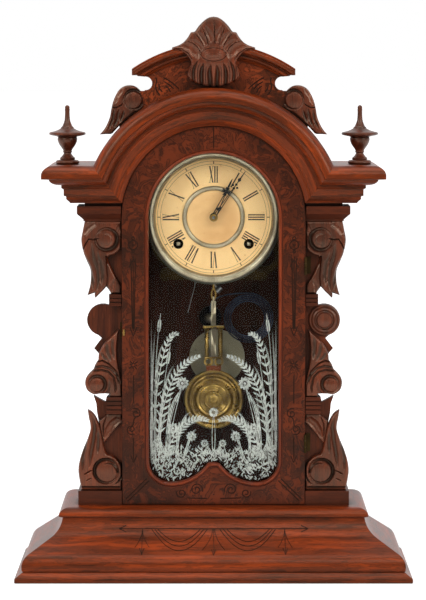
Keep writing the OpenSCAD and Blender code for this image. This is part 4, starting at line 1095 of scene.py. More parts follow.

# %% [markdown]
# Every cut is a rule over the distance to a line, a ring or an outline. A gouge
# leaves a round hollow that fades out at both ends, and a V tool leaves a sharp
# one. The carving keeps two numbers for each point: how far it was lowered, and
# how dark it is painted there, grime and painted shade in the cut.

# %% The carver's cuts
class Carving:
    """Heights over a sawn board. Cuts lower them; `hollow` keeps how dark each cut is painted, grime and
    painted shade.
    """

    def __init__(self, spots):
        self.spots = spots
        self.height = np.zeros(len(spots))
        self.hollow = np.zeros(len(spots))
        self.lines = []

    def gouge(self, line, width, depth, start=0.25, end=0.25, vee=False, dark=1.0):
        """A cut along a line, tapering over the given shares of its length."""
        self.lines.append(line)
        gap, share = to_line(self.spots, line)
        fade = np.clip(np.minimum(share / max(start, 1e-3), (1 - share) / max(end, 1e-3)), 0, 1) ** 0.6
        across = np.clip(1 - gap / (width * np.maximum(fade, 0.15)), 0, 1)
        shape = across if vee else 1 - (1 - across) ** 2
        cut = shape * depth * fade
        self.height -= cut
        self.hollow = np.maximum(self.hollow, dark * shape * np.minimum(1, cut / max(depth, 0.1)))
        return self

    def crown(self, outline, radius):
        """Rounds the edge all the way round."""
        gap, _ = to_line(self.spots, outline, closed=True)
        left = np.clip(radius - gap, 0, radius)
        self.height -= radius - np.sqrt(np.maximum(radius ** 2 - left ** 2, 0))
        return self

    def level(self, outline, height, soft=1.0):
        """Raises or lowers everything inside an outline, with a soft step."""
        gap, _ = to_line(self.spots, outline, closed=True)
        signed = np.where(within(self.spots, outline), gap, -gap)
        self.height += height * np.clip(signed / soft + 0.5, 0, 1)
        # a lowered step is painted darker along its edge: painted shade
        if height < 0:
            step = np.clip(1 - np.abs(signed) / (soft + 0.8), 0, 1)
            self.hollow = np.maximum(self.hollow, 0.6 * step)
        return self

    def ring(self, x, z, radius, width, depth, deep_at=None, closed=True, start=0, end=360, dark=1.0):
        """A round groove; deep_at is the direction, in degrees, where it is deepest."""
        gap = np.abs(np.hypot(self.spots[:, 0] - x, self.spots[:, 1] - z) - radius)
        angle = np.degrees(np.arctan2(self.spots[:, 1] - z, self.spots[:, 0] - x))
        share = np.ones(len(gap))
        if deep_at is not None:
            share = 0.62 + 0.38 * np.cos(np.radians(angle - deep_at))
        if not closed:
            turned = (angle - start) % 360
            span = end - start
            share = share * np.clip(np.minimum(turned, span - turned) / 25, 0, 1)
        shape = np.clip(1 - gap / (width * np.sqrt(np.maximum(share, 0.05))), 0, 1)
        shape = 1 - (1 - shape) ** 2
        self.height -= shape * depth * share
        self.hollow = np.maximum(self.hollow, dark * shape * np.clip(share, 0, 1))
        return self

    def dome(self, x, z, wide, high, height):
        """A swelling, or a dish where height is negative."""
        gap = np.hypot((self.spots[:, 0] - x) / wide, (self.spots[:, 1] - z) / high)
        self.height += height * np.clip(1 - gap ** 2, 0, 1)
        return self


print("cuts ready")

# %% [markdown]
# The board's outline is sawn first. A net of points fills it, the cuts move the
# points, and triangles join them into faces. The triangles take any set of
# points, so the bottom of each cut can have a row of its own.

# %% From a sawn board to a carved piece
NET_STEP = 0.5  # millimetres between the points of a carved face


def carved_mesh(name, outline, face, back, cuts):
    """Saws an outline, carves its face and closes it. face and back are depths."""
    def well_inside(dots):
        gap, _ = to_line(dots, ring, closed=True)
        return dots[within(dots, ring) & (gap > 0.45 * NET_STEP)]

    ring = even_ring(outline, NET_STEP)
    flat = np.array(ring)
    low, high = flat.min(0), flat.max(0)
    columns = np.arange(low[0] + NET_STEP / 2, high[0], NET_STEP)
    rows = np.arange(low[1] + NET_STEP / 2, high[1], NET_STEP * 0.87)
    net = well_inside(np.array([(x + (NET_STEP / 2 if j % 2 else 0), z)
                                for j, z in enumerate(rows) for x in columns]))
    # the bottom of every cut gets points of its own, so that it comes out as one clean line
    trial = Carving(flat[:1])
    cuts(trial)
    for line in trial.lines:
        dots = []
        for (x0, z0), (x1, z1) in zip(line, line[1:]):
            steps = max(1, math.ceil(math.hypot(x1 - x0, z1 - z0) / (NET_STEP * 0.8)))
            dots += [(x0 + (x1 - x0) * k / steps, z0 + (z1 - z0) * k / steps) for k in range(steps)]
        away, _ = to_line(net, line)
        net = np.vstack([net[away > 0.45 * NET_STEP], well_inside(np.array(dots + [line[-1]]))])
    spots = np.vstack([flat, net])
    corners = [Vector((float(x), float(z))) for x, z in spots]
    edges = [(i, (i + 1) % len(ring)) for i in range(len(ring))]
    _, _, faces, origin, _, _ = geometry.delaunay_2d_cdt(corners, edges, [], 1, 1e-6)
    carving = Carving(spots)
    cuts(carving)
    source = [o[0] for o in origin]
    count = len(source)
    points = [(spots[s][0] * MM, (face - carving.height[s]) * MM, spots[s][1] * MM) for s in source]
    hollow = [float(carving.hollow[s]) for s in source]
    place = {s: i for i, s in enumerate(source)}
    rim = [place[i] for i in range(len(ring)) if i in place]
    points += [(points[i][0], back * MM, points[i][2]) for i in rim]
    hollow += [0.0] * len(rim)
    faces = [list(f) for f in faces]
    size = len(rim)
    faces += [[rim[i], count + i, count + (i + 1) % size, rim[(i + 1) % size]] for i in range(size)]
    faces.append([count + i for i in range(size)])
    mesh = bpy.data.meshes.new(name)
    mesh.from_pydata(points, [], faces)
    mesh.materials.append(carved_walnut)
    # each name shifts the grain a little, so that no two carvings share a figure
    give_grain(mesh, "z", shift=0.01 * (len(name) % 7))
    # the carving attribute keeps how dark each point is painted: grime and painted shade in the cuts
    mesh.attributes.new("carving", "FLOAT", "POINT").data.foreach_set("value", hollow)
    with opened(mesh) as work:
        bmesh.ops.recalc_face_normals(work, faces=work.faces)
    soften(mesh, 38)
    return mesh


def right_and_left(names, outline, face, back, cuts):
    """Carves the right-hand piece, and its mirror for the left."""
    right, left = [carved_mesh(name, outline, face, back, cuts) for name in names]
    left.transform(MIRROR)
    left.flip_normals()
    return {"right": right, "left": left}


def bracket(name, outline, cuts, node):
    names = [name + "_right", name + "_left"]
    for side, mesh in right_and_left(names, outline, carve_face, carve_back, cuts).items():
        place_piece(name + "_" + side, mesh, "case", "walnut_dark", node + "_" + side)


carve_face, carve_back = -14.0, -4.5
print("carving tools ready")

# %% [markdown]
# The brackets are scrolls with leaves. On each, the eye is a flat button in a
# deep ring, the leaves are long tapering flutes, and a V cut marks where one
# leaf folds over the next. Positions are distances from the clock's middle and
# heights, in millimetres.

# %% The upper brackets
upper_outline = ([(91, 348.4), (126.9, 348.4)]
                 + flow([(127.6, 345), (128.6, 340), (130.3, 330), (128.6, 319), (125, 309),
                         (121.8, 301.5), (121, 295), (121.4, 287), (123.3, 279), (124.6, 275)], 4)
                 + [(120.5, 276.4), (117.2, 277.6)]
                 + flow([(117.4, 275), (116.6, 272.6), (113, 276), (109.6, 279.3), (106, 283.4)], 3)
                 + flow([(105.4, 283.4), (103, 280), (101.4, 276.1)], 3)
                 + [(91, 276.1), (91, 284)]
                 + flow([(93.5, 288.5), (97, 294), (101, 302), (104.2, 309.5), (102.8, 314.2)], 4)
                 + arc(104.9, 330.1, 16, 260, 213, 8) + [(91, 321)])


def upper_cuts(c):
    c.crown(upper_outline, 2.6)
    c.level([(90, 275), (102, 275), (105.6, 284), (104.6, 293), (105.4, 304), (106, 314), (90, 300)],
            -3.4, 1.2)
    c.gouge([(120, 327), (118.4, 314), (114.2, 300), (113.4, 289), (115.2, 279)], 2.6, 1.9)
    c.gouge([(127, 314), (122.6, 303), (119.4, 291), (118.4, 280)], 2.1, 1.6)
    c.gouge([(114.6, 318), (111, 307), (109.6, 296), (110.8, 284)], 2.6, 1.6)
    c.gouge([(98, 291), (101, 284), (100, 278)], 2.2, 1.0, dark=0.5)
    c.gouge([(112.5, 331.5), (117, 330.2), (123, 330.6), (126.6, 325), (130, 316)], 0.95, 1.7, vee=True,
            start=0.1, end=0.05)
    c.ring(105.6, 330.4, 10.6, 2.6, 4.4, deep_at=205)
    c.dome(105.6, 330.4, 8, 8, 0.7)
    c.ring(105.6, 330.4, 5.4, 0.8, 0.5, closed=False, start=60, end=290, dark=0.5)
    c.gouge([(116, 348), (124, 342), (131, 333)], 4.4, 1.8, start=0.1, end=0.2, dark=0.0)
    c.gouge([(91, 346), (94.5, 338), (92, 331)], 3.0, 1.6, start=0.1, end=0.1, dark=0.1)


bracket("upper_bracket", upper_outline, upper_cuts, "upper_scroll")

# %% [markdown]
# The middle bracket hangs beside the dial: a long leaf that folds over a scroll.
# Two wide flutes and a V cut part the leaf from the scroll.

# %% The middle brackets
leaf_outline = (flow([(93.9, 240.9), (96.5, 238.6), (100, 234.9), (105, 230.6), (109.3, 225.6),
                      (112, 220.6), (113.6, 216), (114, 211)], 4)
                + flow([(114.4, 210.4), (117, 206.4), (118.6, 202.2)], 3)
                + flow([(119, 201.4), (123, 197.5), (126.3, 192.8), (127.2, 187.4), (125.6, 181.6),
                        (122.3, 178.4), (118, 176.6), (112, 177.3), (103.2, 177.2)], 4)
                + [(103, 174.2), (91, 174.2)]
                + flow([(91, 186), (92.3, 195), (94.4, 205), (95.8, 215), (95.6, 226), (93.9, 240)], 4))


def leaf_cuts(c):
    c.crown(leaf_outline, 2.4)
    c.gouge([(106, 229), (105, 219), (101, 209)], 2.8, 1.8)
    c.gouge([(111.5, 219), (108.5, 213.5), (104, 210)], 2.0, 1.4)
    c.gouge([(99.4, 235), (100, 223), (98, 211)], 2.4, 1.6)
    c.gouge([(115, 209), (110, 210.4), (103.4, 207), (97.2, 200.6), (93.5, 193)], 1.2, 2.0, start=0.05,
            end=0.1,
            vee=True)
    c.gouge([(119, 203), (110, 205), (102, 202.4), (96, 196), (92, 187)], 1.5, 1.8, start=0.05, end=0.1)
    c.gouge([(120.5, 200), (111, 201), (104, 199.2), (99, 194), (96.6, 184), (97.5, 178)], 1.3, 1.7,
            start=0.1, end=0.1)
    c.dome(101, 187, 9, 10, 1.2)
    c.ring(115.3, 186.6, 8.2, 2.3, 3.4, deep_at=150)
    c.dome(115.3, 186.6, 5.8, 5.8, 0.9)
    c.ring(115.3, 186.6, 12.4, 1.2, 1.0, closed=False, start=150, end=320, dark=0.6)


bracket("leaf_bracket", leaf_outline, leaf_cuts, "leaf_scroll")

# %% [markdown]
# The lower bracket stands on the base beside the door's foot. Its eye is the
# largest, with a groove that winds once round it, and a second leaf shows behind
# it, set further back.

# %% The lower brackets
lower_outline = (flow([(124.8, 161.2), (123.6, 153), (122.2, 146), (122.5, 140), (125.5, 131),
                       (129.8, 120.5), (133, 110), (134.2, 101), (133.2, 92), (131.6, 84)], 4)
                 + [(131.8, 80.7), (91, 80.7), (91, 104), (92.4, 108.6)]
                 + arc(107, 100.4, 16, 145, 96, 7)
                 + flow([(106.6, 118), (108.8, 125), (111, 136.3), (113.2, 145.3), (116.6, 153.6),
                         (120.4, 158.6), (124.4, 161.2)], 4))


def lower_cuts(c):
    c.crown(lower_outline, 2.6)
    c.gouge([(120, 156), (117.6, 144), (119, 131), (121.6, 117), (123.4, 103)], 2.5, 2.0)
    c.gouge([(124.4, 139), (127.2, 127), (129.8, 114), (130.4, 99)], 2.2, 1.7)
    c.gouge([(114.6, 142), (114.2, 130), (115, 117)], 2.0, 1.5)
    c.gouge([(128.8, 96.5), (119.6, 101.4)], 1.0, 1.3, vee=True)
    c.gouge([(127, 90), (121, 93)], 0.9, 1.0, vee=True)
    c.gouge([(131.5, 84), (92, 84)], 1.2, 1.8, start=0.03, end=0.03)
    c.ring(106.5, 100, 11.8, 2.1, 4.2, deep_at=20)
    c.dome(106.5, 100, 10, 10, 0.9)
    spiral = [(106.5 + r * math.cos(math.radians(a)), 100 + r * math.sin(math.radians(a)))
              for a, r in zip(range(190, 60, -10), np.linspace(11.5, 6.6, 13))]
    c.gouge(spiral, 1.5, 2.0, start=0.02, end=0.6)
    c.ring(106.5, 100, 15.8, 1.0, 1.6, closed=False, start=110, end=245)


bracket("lower_bracket", lower_outline, lower_cuts, "lower_scroll")
back_leaf = (flow([(104.4, 157.3), (108.5, 153.4), (114, 149.3)], 3)
             + flow([(113.2, 144), (112, 138), (109.8, 126.2)], 3)
             + flow([(107, 129.6), (103, 134.6), (98, 141), (91, 148.1)], 4) + [(91, 157.3)])


def back_leaf_cuts(c):
    c.crown(back_leaf, 1.6)
    c.gouge([(92, 152), (100, 146), (108, 132)], 5.0, 2.6, start=0.1, end=0.3, dark=0.0)
    c.gouge([(106, 155), (109.5, 146), (109.4, 134)], 1.1, 1.2, vee=True)


leaves = right_and_left(["behind_leaf"] * 2, back_leaf, carve_face + 4, carve_back, back_leaf_cuts)
for side, mesh in leaves.items():
    place_piece("behind_leaf_" + side, mesh, "case", "walnut_dark")

# %% [markdown]
# The wings that end the crest are the same idea: a hooked band round an eye, a
# collar, and a tail with three flutes. The lower edge follows the top of the
# arch, a hair away from it.

# %% The wings of the crest
wing_outline = (flow([(68.6, 468), (69.4, 472.5), (72.4, 477.4), (76.6, 480.6), (81.4, 481.7),
                      (86.6, 481), (91.4, 478), (95.2, 472.6), (98, 466), (99.8, 458.8), (101.2, 451),
                      (104.4, 443), (108, 437.4), (111.4, 433.8)], 4)
                + [(106, 434.2), (100.4, 434.2)]
                + arc(0, dial_z, 129.6, 40.4, 58.0, 22))


def wing_cuts(c):
    c.crown(wing_outline, 2.2)
    c.ring(78, 467.6, 9.3, 2.0, 3.8, deep_at=130)
    c.dome(78, 467.6, 7.6, 7.6, 0.8)
    c.gouge([(100.5, 460), (94, 460.3), (90, 462.4), (88, 465)], 0.9, 1.6, vee=True, start=0.03)
    c.gouge([(96.6, 458.6), (98.2, 448), (102.6, 438.5)], 1.8, 1.5)
    c.gouge([(91.8, 459), (93.6, 449), (97.4, 440)], 2.5, 2.0)
    c.gouge([(87, 458), (88.8, 451), (92, 444.6)], 1.8, 1.4)
    c.gouge([(88, 479), (94.6, 471), (96.6, 463)], 2.6, 0.9, dark=0.2)


wings = right_and_left(["wing"] * 2, wing_outline, -26, -14, wing_cuts)
place_piece("wings", join_meshes("wings", list(wings.values())), "case", "walnut", "wing_scrolls")

# %% [markdown]
# The shell crowns the clock. Shallow flutes fan out over its dome, parted by
# thin cut lines, two smooth lobes sweep out to the corners, and leaves with dark
# hollows between them hang below an oval boss. The dome swells forward, so that
# the light runs along the flutes.

# %% The crest shell
t = top_z
shell_right = (flow([(0, t), (4.6, t - 0.9), (9.4, t - 4), (14, t - 8.6), (17.6, t - 13.6)], 5)
               + [(18.6, t - 14.6), (21.6, t - 15)]
               + flow([(22.4, t - 15.6), (25, t - 20), (29, t - 24.6), (34, t - 27.6), (40, t - 29.6)], 4)
               + flow([(40.4, t - 30.2), (39.6, t - 32), (35, t - 31.6), (30, t - 33.6), (25.6, t - 37.6),
                       (22.4, t - 42), (21.8, t - 46), (24.4, t - 52), (25.2, t - 57), (22, t - 61.6),
                       (15.6, t - 65), (8, t - 67.4), (0, t - 68.3)], 4))
shell_outline = shell_right + [(-x, z) for x, z in reversed(shell_right[1:-1])]


def shell_cuts(c):
    x, z = c.spots.T
    side = np.abs(x)
    c.crown(shell_outline, 2.2)
    # the face swells: forward at the dome, back towards the lobes and the hanging leaves
    c.height -= 1.6 + 1.4 * np.clip((side - 8) / 32, 0, 1) ** 1.3 * np.clip((z - (t - 50)) / 12, 0, 1)
    c.height -= 5.6 * np.clip((t - 44 - z) / 24, 0, 1) ** 1.3
    c.dome(0, t - 20, 20, 19, 1.6)
    for s in (1, -1):
        lines = [[(s * 11.2, t - 9.4), (s * 9.4, t - 14.5), (s * 6.6, t - 20.5), (s * 5.4, t - 27)],
                 [(s * 18.8, t - 15.4), (s * 15, t - 19.6), (s * 11.2, t - 25), (s * 9.0, t - 30)],
                 [(s * 26.5, t - 23.4), (s * 20.6, t - 25.2), (s * 15.6, t - 29.4), (s * 12.6, t - 34.4)]]
        for line, flute, deep in zip(lines, (3.8, 3.4, 2.8), (2.3, 2.0, 1.4)):
            c.gouge([(a - s * flute * 0.95, b + 0.8) for a, b in line], flute, deep, start=0.45, end=0.12,
                    dark=0.05)
            c.gouge(line, 0.55, 1.0, vee=True, start=0.3, end=0.1)
        c.gouge([(s * 37, t - 29.2), (s * 29, t - 27.6), (s * 21.5, t - 30.4), (s * 16.4, t - 36),
                 (s * 14.8, t - 41)], 4.6, 1.5, start=0.3, end=0.2, dark=0.05)
        c.gouge([(s * 39, t - 30.8), (s * 31, t - 31.0), (s * 24.4, t - 35.6), (s * 20.0, t - 42.4)], 0.6,
                1.0,
                vee=True, start=0.1, end=0.1, dark=0.8)
        # hanging leaves: broad hollows that run out through the lower edge, and a rib line on each leaf
        for line, wide, deep in (([(2.6, -46), (3.8, -53), (3.4, -61), (3.0, -70)], 2.7, 3.6),
                                 ([(9.2, -44.6), (11.2, -50), (12.0, -57), (11.2, -69)], 2.3, 3.2),
                                 ([(15.0, -42), (18.0, -47.4), (19.8, -54), (19.0, -66)], 1.9, 2.6)):
            c.gouge([(s * a, t + b) for a, b in flow(line, 4)], wide, deep, start=0.35, end=0.0)
        for line in ([(6.4, -46), (7.8, -54), (7.4, -66)], [(13.2, -44), (15.6, -52), (15.4, -64)],
                     [(20.4, -45), (22.6, -52), (22.6, -60)]):
            c.gouge([(s * a, t + b) for a, b in flow(line, 4)], 0.5, 0.7, vee=True, start=0.3, end=0.1,
                    dark=0.8)
    c.gouge([(0.4, t - 4.5), (0.9, t - 14), (1.4, t - 27)], 0.6, 1.1, vee=True, start=0.35, end=0.05)
    boss = [(12.2 * math.cos(a), t - 36.6 + 6.4 * math.sin(a)) for a in np.linspace(0, 2 * math.pi, 48)[:-1]]
    c.level(boss, 0.6, 1.6)
    c.dome(0, t - 36.6, 12, 6.4, 0.9)
    c.gouge(boss + boss[:1], 0.6, 0.8, start=0.0, end=0.0, dark=0.6)
    for drop in (-3.6, -1.5, 0.6, 2.7):
        c.gouge([(u, t - 36.0 + drop - 0.024 * u * u) for u in np.linspace(-9.5, 9.5, 11)], 0.45, 0.4,
                dark=0.5)
    c.height = np.minimum(c.height, -0.02)


shell = carved_mesh("shell", shell_outline, -40, -22, shell_cuts)
place_piece("crest_shell_carving", shell, "case", "walnut", "crest_shell")

# %% [markdown]
# The door's opening is drawn with a compass: an arch round the dial, two lobes at
# the foot, and a bump between them. A bead runs all the way round it. Its section
# is a half round with a fine quirk beside it, and the outline is known at any
# distance from the opening's edge, so the bead is lofted between outlines
# instead of being swept, which keeps its inside corners sharp.

# %% The bead round the glass
def crossing(ax, az, a_r, bx, bz, b_r):
    """Where two circles cross; the higher of the two places."""
    gap = math.hypot(bx - ax, bz - az)
    along = (a_r ** 2 - b_r ** 2 + gap ** 2) / (2 * gap)
    off = math.sqrt(a_r ** 2 - along ** 2)
    ux, uz = (bx - ax) / gap, (bz - az) / gap
    spots = [(ax + ux * along - s * uz * off, az + uz * along + s * ux * off) for s in (1, -1)]
    return max(spots, key=lambda spot: spot[1])


sight_r, bead_w = 64.0, 4.3
lobe_x, lobe_r, lobe_z = 42.5, sight_r - 42.5, base_h + 43.6
bump_r, bump_z = 19.5, base_h + 22.5
inner_r, inner_z = 44.6, base_h + 66.7


def opening_ring(grow):
    """The glass opening, larger all round by grow; the same number of points for any grow."""
    right = arc(lobe_x, lobe_z, lobe_r + grow, 0, -90, 14)
    cross_x, cross_z = crossing(lobe_x, inner_z, inner_r + grow, 0, bump_z, bump_r - grow)
    foot = math.degrees(math.atan2(cross_z - inner_z, cross_x - lobe_x))
    right += arc(lobe_x, inner_z, inner_r + grow, -90, foot if foot < 0 else foot - 360, 12)[1:]
    start = math.degrees(math.atan2(cross_z - bump_z, cross_x))
    bump = arc(0, bump_z, bump_r - grow, start, 180 - start, 20)[1:-1]
    left = [(-x, z) for x, z in reversed(right)]
    top = arc(0, dial_z, sight_r + grow, 180, 0, 72)
    sides = [(x, lobe_z + (dial_z - lobe_z) * k / 8) for x in (-sight_r - grow,) for k in range(1, 8)]
    back = [(-x, z) for x, z in reversed(sides)]
    return right + bump + left + sides + top + back


def loft_outline(name, steps, finish):
    """steps: (grow, depth) pairs round the bead's section."""
    rings = [opening_ring(grow) for grow, _ in steps]
    count = len(rings[0])
    points = [(x, y, z) for ring, (_, y) in zip(rings, steps) for x, z in ring]
    faces = [(j * count + i, j * count + (i + 1) % count,
              (j + 1) % len(rings) * count + (i + 1) % count, (j + 1) % len(rings) * count + i)
             for j in range(len(rings)) for i in range(count)]
    return plain_mesh(name, points, faces, finish, "z")


glass_face, glass_rear = [corner[1] for corner in box("door_glass")]
door_back = door_hi[1]
round_part = [(0.3 + 3.0 * (1 - math.cos(a)) / 2, -16.2 - 1.5 * math.sin(a))
              for a in np.linspace(0, math.pi, 9)]
bead_steps = ([(0, glass_face), (0, -15.4)] + round_part
              + [(3.5, -15.5), (3.8, -15.5), (4.0, -16.2), (bead_w, -16.2), (bead_w, glass_face)])
bead = loft_outline("door_bead_front", bead_steps, bead_walnut)
stop = loft_outline("door_bead_back", [(1.2, glass_rear), (1.2, door_back - 0.6), (1.8, door_back),
                                       (bead_w, door_back), (bead_w, glass_rear)], bead_walnut)
place_piece("bead", join_meshes("bead", [bead, stop]), "door", "walnut", "door_bead")

# %% [markdown]
# Fine ornament is cut into the veneer with a V tool: swags and arrows on the
# base, darts and stars on the door. Each cut is drawn as a dark line that swells
# in the middle, painted shadow of the groove. A Geometry Nodes tree turns drawn
# lines into such cuts: the line is the path, a tiny flat lozenge is the section,
# and the line's own length sets how it tapers.

# %% A tree that turns drawn lines into V cuts
def cut_tree():
    group, given, gives = new_group(
        "veined_cut", "GeometryNodeTree",
        [("Lines", "shape", None), ("Width", "number", 0.0008), ("Relief", "number", 0.00012),
         ("Taper", "number", 0.18), ("Finish", "finish", None)], [("Cuts", "shape")])
    lines = put(group, "GeometryNodeMeshToCurve", Mesh=given["Lines"]).outputs[0]
    even = put(group, "GeometryNodeResampleCurve", {"mode": "LENGTH"}, Curve=lines, Length=0.0012).outputs[0]
    share = Wire(group, put(group, "GeometryNodeSplineParameter").outputs["Factor"])
    ends = share.math("MINIMUM", share * -1.0 + 1.0)
    swell = ends.ramp(0.0, given["Taper"]) * 0.75 + 0.25
    sized = put(group, "GeometryNodeSetCurveRadius", Curve=even, Radius=swell).outputs[0]
    # a section that is wide and almost flat: a circle of four points, squashed
    bar = put(group, "GeometryNodeCurvePrimitiveCircle", {"mode": "RADIUS"}, Resolution=4,
              Radius=Wire(group, given["Width"]) * 0.5).outputs[0]
    flat = put(group, "GeometryNodeTransform", Geometry=bar,
               Scale=joined(group, Wire(group, given["Relief"]) / given["Width"] * 2.0, 1.0, 1.0)).outputs[0]
    swept = put(group, "GeometryNodeCurveToMesh", Curve=sized, Profile_Curve=flat, Fill_Caps=True)
    return hand_over(group, given, gives["Cuts"], swept.outputs[0])


veined_cut = cut_tree()


def line_seed(name, lines, lie):
    """Drawn lines as a mesh of edges. lie gives each drawn point its place in millimetres."""
    points, edges = [], []
    for line in lines:
        edges += [(len(points) + i, len(points) + i + 1) for i in range(len(line) - 1)]
        points += [tuple(c * MM for c in lie(*spot)) for spot in line]
    seed = bpy.data.meshes.new(name)
    seed.from_pydata(points, edges, [])
    return seed


def cut_lines(name, lines, width, relief, lie):
    """Cuts drawn as lists of (x, z) and laid on a surface by lie(x, z)."""
    mesh = run_tree(veined_cut, name, line_seed(name, lines, lie),
                    {"Width": width * MM, "Relief": relief * MM, "Taper": 0.18}, cut_shadow)
    make_solid(mesh, 1e-7)
    return mesh


def both_sides(lines):
    return lines + [[(-x, z) for x, z in line] for line in lines]


print("cut tree ready")

# %% [markdown]
# The lower glass carries a painted garden: cattails and blades of grass on both
# sides, fern fronds that lean in over the pendulum, and daisies above a grassy
# bank. Each stroke is one thin flat shape on the back of the pane. Leaves are
# split along the middle, because a stencil needs a bridge there. One side is
# drawn, and the other is its mirror.

# %% Strokes of the stencil
garden = Sheet()
pane_back = glass_rear + 0.06
COATS, COAT = 12, 0.012  # each plant lies on a coat of its own, a hair behind the last one


def stroke(corners):
    """One flat painted shape and its mirror."""
    for side in (1, -1):
        garden.add([(side * x, z) for x, z in corners], pane_back + COAT * (garden.coat % COATS))


def bent(base, bend, tip, t):
    """A place and a direction on a bent line."""
    u = 1 - t
    place = [u * u * a + 2 * u * t * b + t * t * c for a, b, c in zip(base, bend, tip)]
    way = [2 * u * (b - a) + 2 * t * (c - b) for a, b, c in zip(base, bend, tip)]
    size = math.hypot(*way) or 1
    return place, (way[0] / size, way[1] / size)


def leaf(base, bend, tip, wide, steps=10, rib=0.35, belly=0.35):
    """A leaf along a bent line, in two halves with a bridge between them."""
    garden.coat += 1
    for side in (1, -1):
        rows = []
        for k in range(steps + 1):
            t = k / steps
            (x, z), (ux, uz) = bent(base, bend, tip, t)
            full = wide * (min(1, (t + 0.12) / belly) if t < belly else ((1 - t) / (1 - belly)) ** 0.8)
            near = min(rib, full) / 2 * side
            far = full / 2 * side
            rows.append(((x - uz * near, z + ux * near), (x - uz * far, z + ux * far)))
        for (a, b), (c, d) in zip(rows, rows[1:]):
            stroke([a, b, d, c])


def stem(base, bend, tip, wide, steps=12):
    """A stalk along a bent line, thinner towards its tip."""
    garden.coat += 1
    rows = []
    for k in range(steps + 1):
        (x, z), (ux, uz) = bent(base, bend, tip, k / steps)
        half = wide / 2 * (1 - 0.5 * k / steps)
        rows.append(((x - uz * half, z + ux * half), (x + uz * half, z - ux * half)))
    for (a, b), (c, d) in zip(rows, rows[1:]):
        stroke([a, b, d, c])


def cattail(base, bend, tip, head=13.0, fat=3.6):
    stem(base, bend, tip, 0.9)
    (x, z), (ux, uz) = bent(base, bend, tip, 1.0)
    for side in (1, -1):
        edge = [(x + ux * (head / 2 - head / 2 * math.cos(a)) - uz * side * fat / 2 * math.sin(a) ** 0.6,
                 z + uz * (head / 2 - head / 2 * math.cos(a)) + ux * side * fat / 2 * math.sin(a) ** 0.6)
                for a in np.linspace(0.12, math.pi - 0.12, 9)]
        spine = [(x + ux * head * k - uz * side * 0.25, z + uz * head * k + ux * side * 0.25)
                 for k in np.linspace(0.97, 0.03, 9)]
        stroke(edge + spine)
    stem((x + ux * head, z + uz * head), (x + ux * (head + 2), z + uz * (head + 2)),
         (x + ux * (head + 6), z + uz * (head + 6)), 0.8, 3)


def fern(base, bend, tip, longest=9.0, pairs_of_leaves=15):
    stem(base, bend, tip, 0.9)
    for k in range(pairs_of_leaves):
        t = 0.12 + 0.86 * k / (pairs_of_leaves - 1)
        (x, z), (ux, uz) = bent(base, bend, tip, t)
        size = longest * (1 - t) ** 0.6 * min(1, 0.5 + t * 2) + 1.2
        for side in (1, -1):
            fx, fz = ux * 0.62 - uz * side * 0.78, uz * 0.62 + ux * side * 0.78
            leaf((x, z), (x + fx * size * 0.5 + ux * 0.6, z + fz * size * 0.5 + uz * 0.6),
                 (x + fx * size + ux * 1.6, z + fz * size + uz * 1.6), 2.3, 4, rib=0.0)


def daisy(x, z, size, petals=10):
    for k in range(petals):
        a = 2 * math.pi * k / petals + 0.2
        ux, uz = math.cos(a), math.sin(a)
        leaf((x + ux * size * 0.28, z + uz * size * 0.28), (x + ux * size * 0.6, z + uz * size * 0.6),
             (x + ux * size, z + uz * size), size * 0.42, 5, rib=0.2, belly=0.6)
    stroke(arc(x, z, size * 0.2, 0, 330, 11))


print("stencil strokes ready")

# %% [markdown]
# With these strokes the garden is drawn: tall grass first, then cattails, ferns
# that lean towards the middle, and daisies over the bank. The numbers are places
# on the pane in millimetres, from the middle of the clock and from its foot.

# %% The garden
# tall grass at the side: each blade rises from the bank and nods over
blades = [(61.5, 62.5, 200, 57, 248, 2.0), (57, 61, 215, 48, 230, 2.4), (60, 62, 180, 61.5, 264, 1.8),
          (53, 55, 190, 37, 208, 2.4), (62, 62.5, 150, 60, 216, 2.2), (48, 46, 175, 30, 180, 2.6),
          (42, 48, 150, 41, 184, 2.2), (38, 33, 160, 21, 158, 2.6), (50, 57, 138, 51, 172, 2.4),
          (34, 39, 140, 31, 152, 2.4), (61, 54, 140, 46, 160, 2.6), (30, 23, 142, 16, 141, 2.4),
          (44, 54, 128, 59, 140, 2.2)]
for foot, lean, rise, top, height, wide in blades:
    leaf((foot, 108), (lean, rise), (top, height), wide, 14, rib=0.45, belly=0.45)
cattail((58, 104), (60, 190), (54.5, 238))
cattail((55, 104), (52, 170), (46, 206))
cattail((50, 104), (44, 150), (37.5, 168), 11.0, 3.2)
# ferns that lean towards the middle
fern((56, 118), (50, 205), (14, 214), 9.5, 17)
fern((50, 112), (30, 160), (6, 150), 8.0, 14)
fern((60, 140), (52, 240), (36, 236), 6.5, 13)
# daisies over the bank
for x, z, size, foot in ((31, 187, 7.0, 46), (22, 134, 5.5, 30), (9, 127, 4.2, 12), (40, 142, 6.0, 44),
                         (0, 158, 5.0, 0)):
    stem((foot, 112), ((foot + x) / 2 + 3, (112 + z) / 2), (x, z - size * 0.4), 0.8)
    daisy(x, z, size)
    leaf((foot - 1, 114), (foot - 4, 121), (foot - 8, 126), 2.6, 5)
stencil_mesh = garden.mesh("stencil_strokes", stencil_paint)
print("stencil strokes:", len(garden.faces))

# %% [markdown]
# The grassy bank is hundreds of small blades, so Geometry Nodes scatters them: it
# spreads points over the bank's outline, puts one small blade on each, and tilts
# and sizes it by chance from a fixed seed.

